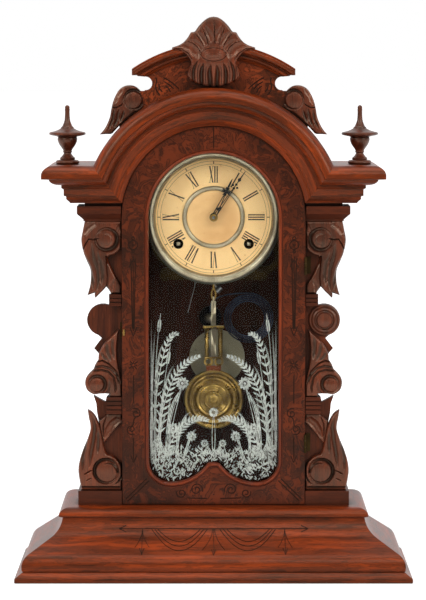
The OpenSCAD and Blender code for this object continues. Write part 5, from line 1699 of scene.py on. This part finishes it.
# %% The grassy bank
def bank_tree():
    group, given, gives = new_group(
        "grassy_bank", "GeometryNodeTree",
        [("Ground", "shape", None), ("Per Area", "number", 300000.0), ("Blade", "number", 0.004),
         ("Seed", "whole", 7), ("Finish", "finish", None)], [("Grass", "shape")])
    spread = put(group, "GeometryNodeDistributePointsOnFaces", Mesh=given["Ground"],
                 Density=given["Per Area"], Seed=given["Seed"]).outputs["Points"]
    one = put(group, "GeometryNodeMeshCircle", {"fill_type": "NGON"}, Vertices=6,
              Radius=Wire(group, given["Blade"]) * 0.5).outputs[0]
    thin = put(group, "GeometryNodeTransform", Geometry=one, Scale=(0.32, 1.0, 1.0)).outputs[0]
    tilt = put(group, "FunctionNodeRandomValue", {"data_type": "FLOAT"}, _2=-1.1, _3=1.1,
               Seed=given["Seed"]).outputs[1]
    size = put(group, "FunctionNodeRandomValue", {"data_type": "FLOAT"}, _2=0.45, _3=1.25,
               Seed=Wire(group, given["Seed"]) + 1.0).outputs[1]
    placed = put(group, "GeometryNodeInstanceOnPoints", Points=spread, Instance=thin,
                 Rotation=joined(group, math.pi / 2, tilt, 0.0), Scale=joined(group, size, size, size))
    return hand_over(group, given, gives["Grass"], placed.outputs[0])


rim = sorted((x, z) for x, z in opening_ring(-1.5) if z < lobe_z - 1)
rim_x, rim_z = [x for x, _ in rim], [z for _, z in rim]
xs = np.linspace(-61.5, 61.5, 63)
low = np.interp(xs, rim_x, rim_z) + 0.4
high = 121 + 7 * (np.abs(xs) / 60) ** 2 + 2.2 * np.sin(xs * 0.31) + 1.4 * np.sin(xs * 0.83 + 1)
ground = bpy.data.meshes.new("bank_ground")
ground.from_pydata([(x * MM, (pane_back + 0.05) * MM, z * MM)
                    for x, a, b in zip(xs, low, high) for z in (a, b)],
                   [], [(2 * i, 2 * i + 2, 2 * i + 3, 2 * i + 1) for i in range(len(xs) - 1)])
bank = run_tree(bank_tree(), "bank", ground, {"Per Area": 190000.0, "Blade": 4.4 * MM, "Seed": 7},
                stencil_paint)
print("bank blades:", len(bank.polygons))
stencil = join_meshes("stencil", [stencil_mesh, bank])
place_piece("stencil_garden", stencil, "door", "glass")

# %% [markdown]
# Bezel, roundel, finials and bob were all turned on a lathe. A lathe sees only a
# profile: how far from the axis, and how far along it. The helper spins a
# profile round an axis that points to the front or stands up, closes it at the
# poles, and recalculates its normals.

# %% The lathe
def turned(name, profile, centre, finish, upright=False, turns=128, closed=False):
    """profile: (radius, depth) pairs, depth measured along y, or along z where upright."""
    points, rings = [], []
    for radius, depth in profile:
        if radius < 1e-6:
            rings.append([len(points)])
            points.append((0.0, 0.0, depth))
            continue
        rings.append(list(range(len(points), len(points) + turns)))
        points += [(radius * math.cos(2 * math.pi * k / turns), radius * math.sin(2 * math.pi * k / turns),
                    depth) for k in range(turns)]
    faces = []
    pairs = list(zip(rings, rings[1:])) + ([(rings[-1], rings[0])] if closed else [])
    for a, b in pairs:
        if len(a) == 1 and len(b) == 1:
            continue
        for k in range(turns):
            k1 = (k + 1) % turns
            if len(a) == 1:
                faces.append((a[0], b[k], b[k1]))
            elif len(b) == 1:
                faces.append((a[k], a[k1], b[0]))
            else:
                faces.append((a[k], a[k1], b[k1], b[k]))
    for ring in ([] if closed else [rings[0], rings[-1]]):
        if len(ring) > 1:
            faces.append(tuple(ring))
    cx, cy, cz = centre
    placed = [(x + cx, y + cy, z + cz) if upright else (x + cx, z + cy, y + cz) for x, y, z in points]
    return plain_mesh(name, placed, faces, finish, "z")


print("lathe ready")

# %% [markdown]
# The bezel is a rolled ring of nickelled brass with a quirk on each side. A second,
# thin ring lies on the paper inside the numerals.

# %% The bezel and the inner ring
bezel_profile = [(57.5, 7.95), (57.7, 6.6), (58.7, 4.7), (59.4, 4.1), (60.3, 4.3), (60.7, 4.0), (61.6, 3.1),
                 (62.6, 2.8), (63.8, 3.0), (64.7, 3.7), (65.2, 4.8), (65.2, 7.95)]
ring_profile = [(26.6, 7.95)] + [(28.8 + 2.15 * math.cos(a), 7.9 - 2.15 * math.sin(a))
                                 for a in np.linspace(math.pi, 0, 11)] + [(31.0, 7.95)]
bezel = turned("bezel", bezel_profile, (0, 0, dial_z), nickel, closed=True, turns=160)
inner_ring = turned("inner_ring", ring_profile, (0, 0, dial_z), nickel, closed=True, turns=128)
place_piece("bezel_rings", join_meshes("bezel_rings", [bezel, inner_ring]), "case", "nickel", "dial_bezel")

# %% [markdown]
# The dial is printed with twelve Roman numerals that stand with their feet to
# the centre. Each letter is a thick stroke and a hairline, as a broad pen makes
# them, with fine serifs. They are thin shapes that lie a few hundredths of a
# millimetre above the paper, like ink. Geometry Nodes set the marks of the hour
# track: one small mark instanced round a circle.

# %% Ink strokes of the numerals
paper_y = 8.0
ink_y = paper_y - 0.05
winding_x, winding_z, winding_clear = 35, dial_z - 26.6, 5.5
printed = Sheet()


def ink(corners):
    """Adds one flat inked shape, given by its corners in x and z, unless a winding hole is there."""
    x, z = np.mean(corners, axis=0)
    if math.hypot(abs(x) - winding_x, z - winding_z) >= winding_clear:
        printed.add(corners, ink_y)


THICK, THIN, FOOT, HEAD = 1.3, 0.4, 34.4, 50.4
# each letter: its width, its strokes (x at the foot, x at the head, width), its serifs (x, radius, width)
LETTERS = {"I": (2.3, [(0, 0, THICK)], [(0, FOOT, 2.0), (0, HEAD, 2.0)]),
           "V": (4.6, [(0, -1.6, THICK), (0.2, 1.7, THIN)], [(-1.6, HEAD, 2.0), (1.7, HEAD, 1.6)]),
           "X": (4.8, [(1.5, -1.5, THICK), (-1.5, 1.5, THIN)],
                 [(x, radius, 1.8) for x in (-1.5, 1.5) for radius in (FOOT, HEAD)])}


def numeral(text, hour):
    """Draws a numeral with its feet towards the centre."""
    turn = math.radians(30 * hour)

    def spun_ink(corners):
        ink([(x * math.cos(turn) + r * math.sin(turn), dial_z + r * math.cos(turn) - x * math.sin(turn))
             for x, r in corners])

    left = -sum(LETTERS[letter][0] for letter in text) / 2
    for letter in text:
        width, strokes, serifs = LETTERS[letter]
        middle = left + width / 2
        for x0, x1, wide in strokes:
            a, b = middle + x0, middle + x1
            rows = [(a + (b - a) * t, FOOT + (HEAD - FOOT) * t) for t in (k / 14 for k in range(15))]
            for (p, low), (q, high) in zip(rows, rows[1:]):
                half = wide / 2
                spun_ink([(p - half, low), (p + half, low), (q + half, high), (q - half, high)])
        for x, r, wide in serifs:
            spun_ink([(middle + x + sx * wide / 2, r + sr * 0.16)
                      for sx, sr in ((-1, -1), (1, -1), (1, 1), (-1, 1))])
        left += width


for hour, text in enumerate(["XII", "I", "II", "III", "IIII", "V", "VI", "VII", "VIII", "IX", "X", "XI"]):
    numeral(text, hour)


def ink_ring(radius, wide, steps=160):
    turn = [2 * math.pi * k / steps for k in range(steps)]
    for a, b in zip(turn, turn[1:] + turn[:1]):
        near, far = radius - wide / 2, radius + wide / 2
        ink([(r * math.sin(t), dial_z + r * math.cos(t)) for r,
             t in ((near, a), (far, a), (far, b), (near, b))])


ink_ring(52.6, 0.26)
ink_ring(55.6, 0.26)


def face_front(mesh):
    """Turns every flat face towards the front of the clock."""
    with opened(mesh) as work:
        bmesh.ops.remove_doubles(work, verts=work.verts, dist=1e-7)
        for face in work.faces:
            face.normal_update()
            if face.normal.y > 0:
                face.normal_flip()


print("numerals:", len(printed.faces), "inked shapes")

# %% [markdown]
# The hour track has twelve small marks. They are alike, so Geometry Nodes set one
# mark on each point of a circle and turn it to face the centre.

# %% Marks of the hour track
def mark_tree():
    group, given, gives = new_group(
        "hour_marks", "GeometryNodeTree",
        [("Start", "shape", None), ("Count", "whole", 12), ("Radius", "number", 0.054),
         ("Wide", "number", 0.0008), ("Tall", "number", 0.003), ("Finish", "finish", None)],
        [("Marks", "shape")])
    ring = put(group, "GeometryNodeMeshCircle", Vertices=given["Count"], Radius=given["Radius"]).outputs[0]
    mark = put(group, "GeometryNodeMeshGrid", Size_X=given["Tall"], Size_Y=given["Wide"], Vertices_X=2,
               Vertices_Y=2).outputs[0]
    x, y, _ = split(group, put(group, "GeometryNodeInputPosition").outputs[0])
    spun = y.math("ARCTAN2", x)
    placed = put(group, "GeometryNodeInstanceOnPoints", Points=ring, Instance=mark,
                 Rotation=joined(group, 0.0, 0.0, spun)).outputs[0]
    return hand_over(group, given, gives["Marks"], placed)


marks = run_tree(mark_tree(), "hour_marks", bpy.data.meshes.new("marks_start"),
                 {"Count": 12, "Radius": 54.1 * MM, "Wide": 0.8 * MM, "Tall": 2.6 * MM}, printed_ink)
marks.transform(Matrix.Translation((0, ink_y * MM, dial_z * MM))
                @ Matrix.Rotation(math.pi / 2, 4, "X"))
ink_mesh = join_meshes("dial_ink", [printed.mesh("dial_ink", printed_ink), marks])
face_front(ink_mesh)
place_piece("dial_ink", ink_mesh, "case", "black")

# %% [markdown]
# The hands are pierced sheet steel, blackened. Each has a split shaft, a cross
# and a pointed tip, drawn here as small plates that overlap like the bars of
# the real pattern. Their pipes and wheels behind the dial are the CAD's own
# shapes, cut square behind the hand and closed.

# %% The hands
def cut_behind(node, depth, finish):
    """A copy of the CAD shape behind a depth, closed where it was cut."""
    mesh = bpy.data.meshes.new(node + "_pipe")
    with opened(nodes[node].data, mesh) as work:
        cut = bmesh.ops.bisect_plane(work, geom=work.verts[:] + work.edges[:] + work.faces[:], dist=1e-7,
                                     plane_co=(0, depth * MM, 0), plane_no=(0, 1, 0), clear_inner=True)
        rims = [part for part in cut["geom_cut"] if isinstance(part, bmesh.types.BMEdge)]
        bmesh.ops.triangle_fill(work, use_beauty=True, edges=rims)
        bmesh.ops.recalc_face_normals(work, faces=work.faces)
    mesh.materials.clear()
    mesh.materials.append(finish)
    give_grain(mesh, "z")
    return mesh


def hand(name, plates, angle, y0, y1):
    """Plates are outlines of (aside, outwards) for a hand that points up."""
    turn = Matrix.Translation((0, 0, dial_z * MM)) @ Matrix.Rotation(math.radians(angle), 4, "Y")
    meshes = [slab_mesh(plate, y0, y1, black_hand, name) for plate in plates]
    for mesh in meshes:
        mesh.transform(turn)
    return meshes


def bar(x0, r0, w0, x1, r1, w1):
    return [(x0 - w0 / 2, r0), (x0 + w0 / 2, r0), (x1 + w1 / 2, r1), (x1 - w1 / 2, r1)]


def diamond(x, r, wide, tall):
    return [(x, r - tall), (x + wide, r), (x, r + tall), (x - wide, r)]


def cross_arm(r, angle, inner, outer, reach):
    """One arm of a splayed cross, widening outwards."""
    a = math.radians(angle)
    flat = [(-inner, 0.3), (inner, 0.3), (outer, reach), (0, reach - 0.9), (-outer, reach)]
    return [(u * math.cos(a) + v * math.sin(a), r - u * math.sin(a) + v * math.cos(a)) for u, v in flat]


print("hand tools ready")

# %% [markdown]
# Each hand is a list of such plates. The minute hand lies in front, on a brass
# collar with a steel pin through it, and the hour hand lies between it and the
# dial.

# %% The minute hand and the hour hand
minute_end = 56.0
minute_plates = [bar(-1.2, 2.6, 0.9, -0.45, 33.5, 0.7), bar(1.2, 2.6, 0.9, 0.45, 33.5, 0.7),
                 diamond(0, 10.5, 1.9, 2.6), bar(0, 32.6, 1.0, 0, 42.6, 0.9), diamond(0, 35.2, 1.5, 1.9),
                 diamond(0, 39.6, 1.5, 1.9), diamond(-2.5, 37.4, 1.5, 1.4), diamond(2.5, 37.4, 1.5, 1.4),
                 bar(-2.4, 37.4, 0.7, 2.4, 37.5, 0.7), diamond(0, 45.2, 1.8, 3.0),
                 [(-0.7, 47), (0.7, 47), (0.3, minute_end - 1.2), (0, minute_end), (-0.3, minute_end - 1.2)]]
hour_end = 43.0
hour_plates = [bar(-1.9, 3.2, 1.1, -0.6, 23.4, 0.9), bar(1.9, 3.2, 1.1, 0.6, 23.4, 0.9),
               bar(-1.6, 9.0, 1.2, 1.6, 9.1, 1.2), diamond(0, 9.4, 2.3, 1.7), bar(0, 22.4, 1.6, 0, 26.6, 1.2)]
hour_plates += [cross_arm(28.4, a, 0.8, 2.2, 4.6) for a in (0, 90, 180, 270)]
hour_plates += [[(-1.0, 32.2), (0, 31.2), (1.0, 32.2), (0.9, 38), (0.3, hour_end - 1), (0, hour_end),
                 (-0.3, hour_end - 1), (-0.9, 38)]]


def hub(name, profile, finish, turns=48):
    return turned(name, profile, (0, 0, dial_z), finish, turns=turns)


minute = hand("minute", minute_plates, 34.5, 0.6, 1.6) + [
    hub("hand_hub", [(0, 1.7), (3.2, 1.7), (3.2, 0.6), (2.9, 0.2), (0, 0.2)], black_hand),
    hub("hand_collar", [(0, 0.2), (2.9, 0.2), (3.5, -0.2), (3.6, -0.7), (3.3, -1.1), (2.6, -1.3),
                        (2.2, -1.0), (0, -1.0)], old_brass),
    hub("hand_pin", [(0, -1.0), (1.5, -1.0), (1.6, -1.2), (1.2, -1.55), (0, -1.6)], bare_steel, 32),
    cut_behind("minute_hand", 1.7, shade_dark_brass)]
hour = hand("hour", hour_plates, 26, 2.8, 3.8) + [
    hub("hour_hub", [(0, 3.9), (4.0, 3.9), (4.0, 2.8), (0, 2.8)], black_hand),
    cut_behind("hour_hand", 3.9, shade_dark_brass)]
place_piece("pierced_minute_hand", join_meshes("minute", minute), "minute_hand", "black", "minute_hand")
place_piece("pierced_hour_hand", join_meshes("hour", hour), "hour_hand", "black", "hour_hand")
print("hands: tips at", minute_end, "and", hour_end, "| CAD boxes", box("minute_hand"), box("hour_hand"))

# %% [markdown]
# Two finials stand on the cornice. Each is a bell on a foot, then a disc, a neck
# and a thin spire, all turned in one piece with fine quirks between the parts.
# A rosette on the right-hand fret is turned too: a flat rim, a cove and a button.

# %% Finials and rosette
finial_lo, finial_hi = box("finial_left")
finial_x, finial_z, finial_h = 144, finial_lo[2], finial_hi[2] - finial_lo[2]
finial_r = (finial_hi[0] - finial_lo[0]) / 2
finial_profile = ([(0, 0), (9.6, 0)] + arc(9.6, 2.1, 2.1, -90, 90, 8)[1:]
                  + [(9.0, 4.3), (7.1, 4.5), (7.4, 5.4), (7.5, 6.4), (6.2, 7.4), (4.9, 8.8), (4.0, 10.2),
                     (3.6, 11.2), (4.3, 11.8), (4.6, 12.6), (4.2, 13.4), (4.8, 14.8), (6.4, 17.0),
                     (8.2, 19.6), (9.3, 22.2), (9.8, 24.4), (9.6, 26.0), (9.0, 26.8), (10.6, 27.4),
                     (13.6, 28.0), (16.4, 28.6), (finial_r, 29.4), (finial_r, 30.9), (17.2, 31.6),
                     (13.4, 32.4), (9.8, 33.6), (7.2, 35.0), (6.4, 35.6), (6.3, 36.4), (5.2, 37.2),
                     (4.6, 38.4), (3.9, 40.0), (3.2, 41.8), (2.7, 44.0), (2.4, 48.0), (2.3, 52.0),
                     (2.5, 53.6)]
                  + arc(0, finial_h - 2.4, 2.4, -20, 90, 8)[:-1] + [(0, finial_h)])
for side, x in (("left", -finial_x), ("right", finial_x)):
    mesh = turned("finial_" + side, finial_profile, (x, 0, finial_z), turned_walnut, upright=True, turns=96)
    place_piece("turned_finial_" + side, mesh, "case", "walnut_dark", "finial_" + side)

roundel_lo, roundel_hi = box("roundel")
rx, rz = (roundel_lo[0] + roundel_hi[0]) / 2, (roundel_lo[2] + roundel_hi[2]) / 2
high = roundel_hi[1] - roundel_lo[1]
rosette_profile = [(0, 0), (15.6, 0), (15.6, 1.6), (15.2, 2.5), (14.4, 3.0), (13.4, 3.0), (12.9, 2.6),
                   (12.4, 3.2), (11.6, 3.9), (10.6, 4.2), (9.7, 3.9), (9.0, 3.1), (8.2, 3.4), (7.6, 4.6),
                   (7.3, 6.2), (7.0, 7.2), (6.0, high - 0.9), (4.6, high - 0.5), (2.4, high - 0.1),
                   (0, high)]
mesh = turned("rosette", [(r, roundel_hi[1] - d) for r, d in rosette_profile], (rx, 0, rz), turned_walnut,
              turns=96)
place_piece("turned_rosette", mesh, "case", "walnut_dark", "roundel")

# %% [markdown]
# The bob is a shallow dish of pressed brass with rolled rings and a raised boss.
# Rings of fine pressed lines catch the light between its beads.

# %% The bob
bob_lo, bob_hi = box("pendulum_bob")
bob_z = (bob_lo[2] + bob_hi[2]) / 2
bob_r = (bob_hi[0] - bob_lo[0]) / 2
bob_back, bob_deep = bob_hi[1], bob_hi[1] - bob_lo[1]
bob_profile = ([(0, 0), (bob_r - 2, 0), (bob_r - 0.3, 0.9), (bob_r, 1.8), (bob_r, 4.0)]
               + arc(bob_r - 1.9, 4.0, 1.9, 0, 130, 7)[1:]
               + [(bob_r - 3.6, 4.5), (bob_r - 4.2, 4.2), (bob_r - 5.0, 5.2), (bob_r - 6.2, 5.8),
                  (bob_r - 7.2, 5.2), (bob_r - 8.0, 4.2), (bob_r - 8.8, 3.9)]
               + [(bob_r - 9.4 - 0.45 * k, 3.95 + (0.32 if k % 2 else 0.0)) for k in range(5)]
               + [(18.0, 4.5), (17.2, 5.5), (16.4, 5.7), (15.4, 5.3), (14.8, 4.9)]
               + [(14.2 - 0.5 * k, 5.1 + 0.09 * k + (0.3 if k % 2 else 0.0)) for k in range(9)]
               + [(9.2, 6.6), (8.4, 6.2), (7.9, 5.6), (5.4, 5.5), (4.6, 5.9), (4.3, 7.4), (3.4, 8.1),
                  (1.7, bob_deep - 0.1), (0, bob_deep)])
mesh = turned("bob", [(r, bob_back - d) for r, d in bob_profile], (0, 0, bob_z), bob_finish, turns=144)
place_piece("bob_dish", mesh, "pendulum", "bob_brass", "pendulum_bob")
print("turned pieces: two finials, rosette, bob with", len(mesh.polygons), "faces")

# %% [markdown]
# Some CAD shapes are right as they are, but hold two metals in one piece: the
# pendulum's steel bar beside its brass tubes, the bright winding squares on wheels
# of brass darkened as painted shade, the bright screw on the dark foot of the gong.
# A copy of the shape gets a metal for each face by where the face lies.

# %% Pieces of two metals
def by_place(name, node, body, slot, metals, choose):
    """A copy of a CAD shape whose faces take the metal that choose(x, y, z) counts out."""
    mesh = nodes[node].data.copy()
    make_solid(mesh, 1e-7)
    soften(mesh, 35)
    mesh.materials.clear()
    for metal_kind in metals:
        mesh.materials.append(metal_kind)
    for face in mesh.polygons:
        face.material_index = choose(*[c / MM for c in face.center])
    give_grain(mesh, "z")
    place_piece(name, mesh, body, slot, node)
    return len(mesh.polygons)


def bar_metal(x, _, z):
    if abs(x) < 3.0 and z > bob_z + 45 and not bob_z + 70 < z < bob_z + 74:
        return 1
    return 2 if z < bob_z + 34 else 0


stand_lo, stand_hi = box("gong_stand")
stand_x, stand_z = (stand_lo[0] + stand_hi[0]) / 2, (stand_lo[2] + stand_hi[2]) / 2
counts = [
    by_place("pendulum_bars", "pendulum_frame", "pendulum", "brass", (bob_finish, nickel, copper_block),
             bar_metal),
    by_place("gong_foot", "gong_stand", "case", "steel", (dark_iron, nickel),
             lambda x, y, z: int(math.hypot(x - stand_x, z - stand_z) < 4.0 and y < stand_lo[1] + 2))]
for wheel in ("time_wheel", "strike_wheel"):
    counts.append(by_place("winding_" + wheel, wheel, wheel, "brass", (shade_dark_brass, nickel),
                           lambda x, y, z: int(y < 14.0)))
print("pieces of two metals, faces:", counts)

# %% [markdown]
# The front of the base carries a long arrow-ended line, three drops that hang
# from it and two double swags. The cuts follow the ogee, so each point of a
# line is set forward by the ogee's own section at its height.

# %% Cut lines on the base
ogee_curve = sorted((z, reach) for reach, z in ogee_section if reach > waist and skirt_h <= z <= ogee_top)
ogee_z, ogee_reach = [z for z, _ in ogee_curve], [reach for _, reach in ogee_curve]


def on_ogee(x, z):
    return x, base_set - float(np.interp(z, ogee_z, ogee_reach)), z


def along_line(start, end, steps=10):
    return [(start[0] + (end[0] - start[0]) * k / steps, start[1] + (end[1] - start[1]) * k / steps)
            for k in range(steps + 1)]


def sagging(x0, x1, z, drop, steps=20):
    return [(x0 + (x1 - x0) * k / steps,
             z - drop * 4 * (k / steps) * (1 - k / steps)) for k in range(steps + 1)]


arrow_z = 46.5
base_lines = [along_line((-93, arrow_z), (93, arrow_z), 60),
              along_line((0, arrow_z), (0.3, 27), 10)] + both_sides([
    along_line((93, arrow_z), (86, arrow_z + 3.0)), along_line((93, arrow_z), (86, arrow_z - 3.0)),
    along_line((70, arrow_z), (70.3, 27.5)), sagging(6, 61, arrow_z - 0.5, 17),
    sagging(9.5, 58, arrow_z - 0.5, 13.5), sagging(13, 55, arrow_z - 0.5, 10),
] + [[(x + out * t * t, arrow_z - drop * t) for t in (0, 0.2, 0.4, 0.6, 0.8, 1.0)]
     for x, out, drop in ((1, 10, 17), (70, -7, 15), (70, 7, 15))])
for x, z in ((0, 27), (70.2, 27.5), (-70.2, 27.5)):
    base_lines += [along_line((x, z - 1.5), (x - 2.4, z + 3.5)), along_line((x, z - 1.5), (x + 2.4, z + 3.5))]
mesh = cut_lines("base_cuts", base_lines, 1.35, 0.14, on_ogee)
place_piece("base_cut_lines", mesh, "case", "walnut_dark")
print("base cuts:", len(base_lines), "lines")

# %% [markdown]
# On the door each stile has a looped ring at the top, a long dart below it, a
# small star half way down and a scroll near the foot. The bottom rail has a
# pair of scrolls under the bump. They were cut with the same tool, so they use
# the same tree.

# %% Cut lines on the door
def spiral(x, z, r0, r1, start, turns, steps=28):
    """A line that winds in from radius r0 to r1; negative turns wind clockwise."""
    line = []
    for k in range(steps + 1):
        radius, angle = r0 + (r1 - r0) * k / steps, math.radians(start) + 2 * math.pi * turns * k / steps
        line.append((x + radius * math.cos(angle), z + radius * math.sin(angle)))
    return line


mid = 79.2
stile_lines = [spiral(mid, 325, 4.4, 4.4, 90, 1.0), spiral(mid, 325, 1.0, 1.0, 90, 1.0, 10),
               spiral(mid, 331.6, 1.6, 1.6, 90, 1.0, 12), spiral(mid, 318.6, 1.3, 1.3, 90, 1.0, 12)]
stile_lines += [along_line((mid + dx, 314 - abs(dx)), (mid + dx * 0.4, 240 + abs(dx)), 24)
                for dx in (-2.2, 0.02, 2.2)]
stile_lines += [along_line((mid, 235), (mid + s * 3.4, 244)) for s in (-1, 1)]
stile_lines += [along_line((mid, 311), (mid + s * 4.2, 303)) for s in (-1, 1)]
for k in range(8):
    a, ray = math.pi / 4 * k + 0.1, 5.6 if k % 2 else 3.8
    stile_lines.append(along_line((mid + 1.2 * math.cos(a), 206.3 + 1.2 * math.sin(a)),
                                  (mid + ray * math.cos(a), 206.3 + ray * math.sin(a)), 5))
stile_lines += [along_line((mid + 0.1, 196), (mid, 168), 12),
                spiral(mid - 2.2, 158, 5.2, 1.2, 60, 1.35), spiral(mid + 2.2, 142, 5.2, 1.2, 240, 1.35),
                [(mid - 4 + 8 * k / 16 + 1.2 * math.sin(k / 16 * 2 * math.pi),
                  156 - 13 * k / 16) for k in range(17)],
                along_line((mid, 134), (mid + 0.3, 112), 10), along_line((mid, 109), (mid - 3, 116)),
                along_line((mid, 109), (mid + 3, 116))]
rail_lines = [spiral(17, 82, 6.4, 1.2, 200, -1.6, 40), spiral(32, 78.5, 5.0, 1.2, 20, -1.4, 32),
              along_line((6.5, 73.2), (27, 73.6), 10),
              along_line((64, 91), (85, 70.5), 12), along_line((66.5, 93), (87, 72.5), 12)]
pin_hole = spiral(0, 77, 0.6, 0.6, 90, 1.0, 12)
joint = [along_line((0.05, dial_z + 69), (0, dial_z + 89.5), 8)]
mesh = cut_lines("door_cuts", both_sides(stile_lines + rail_lines) + [pin_hole] + joint, 1.05, 0.1,
                 lambda x, z: (x, door_face, z))
place_piece("door_cut_lines", mesh, "door", "walnut_dark")
print("door cuts lie at y", door_face)

# %% [markdown]
# The crest panel has the same cuts: a curved stop at each end and three leaf
# strokes beside it.

# %% Cut lines on the crest panel
panel_y = box("crest_board")[0][1]
crest_lines = both_sides([
    [(52.5, top_z - 76), (55.6, top_z - 72), (56.6, top_z - 67), (55.4, top_z - 62), (56.4, top_z - 59)],
    [(50, top_z - 73), (52.6, top_z - 70), (53.4, top_z - 66)],
    [(49, top_z - 59), (44, top_z - 61.5), (38, top_z - 66), (34, top_z - 70)],
    [(48, top_z - 63), (43, top_z - 66), (39, top_z - 70)],
                          [(47, top_z - 67), (44, top_z - 69.5), (42, top_z - 73)]])
mesh = cut_lines("crest_cuts", crest_lines, 1.2, 0.12, lambda x, z: (x, panel_y, z))
place_piece("crest_cut_lines", mesh, "case", "walnut_dark")
print("crest panel cut at depth", panel_y)

# %% [markdown]
# A thin wire runs from the strike work to the edge of the case: pulling it lets
# the clock strike, so that the hour can be set right. It is drawn wire, bent at
# the top into a small eye.

# %% Wire, made along a path by Geometry Nodes
def wire_tree():
    group, given, gives = new_group(
        "round_wire", "GeometryNodeTree",
        [("Lines", "shape", None), ("Thickness", "number", 0.0008), ("Sides", "whole", 10),
         ("Step", "number", 0.002), ("Finish", "finish", None)], [("Wire", "shape")])
    lines = put(group, "GeometryNodeMeshToCurve", Mesh=given["Lines"]).outputs[0]
    even = put(group, "GeometryNodeResampleCurve", {"mode": "LENGTH"}, Curve=lines,
               Length=given["Step"]).outputs[0]
    bar = put(group, "GeometryNodeCurvePrimitiveCircle", {"mode": "RADIUS"}, Resolution=given["Sides"],
              Radius=Wire(group, given["Thickness"]) * 0.5).outputs[0]
    swept = put(group, "GeometryNodeCurveToMesh", Curve=even, Profile_Curve=bar, Fill_Caps=True)
    return hand_over(group, given, gives["Wire"], swept.outputs[0])


round_wire = wire_tree()


def wire(name, line, thick, finish, sides, step=2.0):
    """Round wire along a list of (x, y, z)."""
    mesh = run_tree(round_wire, name, line_seed(name, [line], lambda x, y, z: (x, y, z)),
                    {"Thickness": thick * MM, "Sides": sides, "Step": step * MM}, finish)
    make_solid(mesh, 1e-7)
    soften(mesh, 50)
    return mesh


eye = [(-17.8 + 1.4 * math.cos(a), 27, dial_z - 66 + 1.4 * math.sin(a)) for a in np.linspace(-1.6, 4.2, 16)]
release = eye + [(-19, 27, dial_z - 71), (-25.8, 27.6, 254)]
mesh = wire("release_wire", release, 0.75, bare_steel, 8)
place_piece("release_wire", mesh, "case", "steel")
print("release wire:", len(mesh.polygons), "faces")

# %% [markdown]
# The gong is one long blued wire wound in a flat spiral and led to a stud. The
# CAD shows it with few sides. Here the same path is swept round and smooth.

# %% The gong
gong_x, gong_y, gong_z, gong_r, coils = 35.0, 58.0, dial_z - 105.6, 25.5, 4.5
inner = gong_r - 2.04 * coils
count = int(60 * coils)
coil = []
for i in range(count + 1):
    a = math.radians(270 - 360 * coils + 180 + 360 * i / 60)
    r = inner + (gong_r - inner) * i / count
    coil.append((gong_x + r * math.cos(a), gong_y, gong_z + r * math.sin(a)))
end_x, _, end_z = coil[-1]
stud_x, stud_top = -3.4, gong_z + 6.4
for i in range(1, 16):
    (x, z), _ = bent((end_x, end_z), (stud_x, end_z), (stud_x, stud_top + 4), i / 15)
    coil.append((x, gong_y, z))
coil.append((stud_x, gong_y, stud_top))
mesh = wire("gong", coil, 1.3, blued_steel, 12, 1.2)
place_piece("gong_wire", mesh, "case", "blued", "gong")
print("gong:", len(mesh.polygons), "faces; bounds", box("gong"))
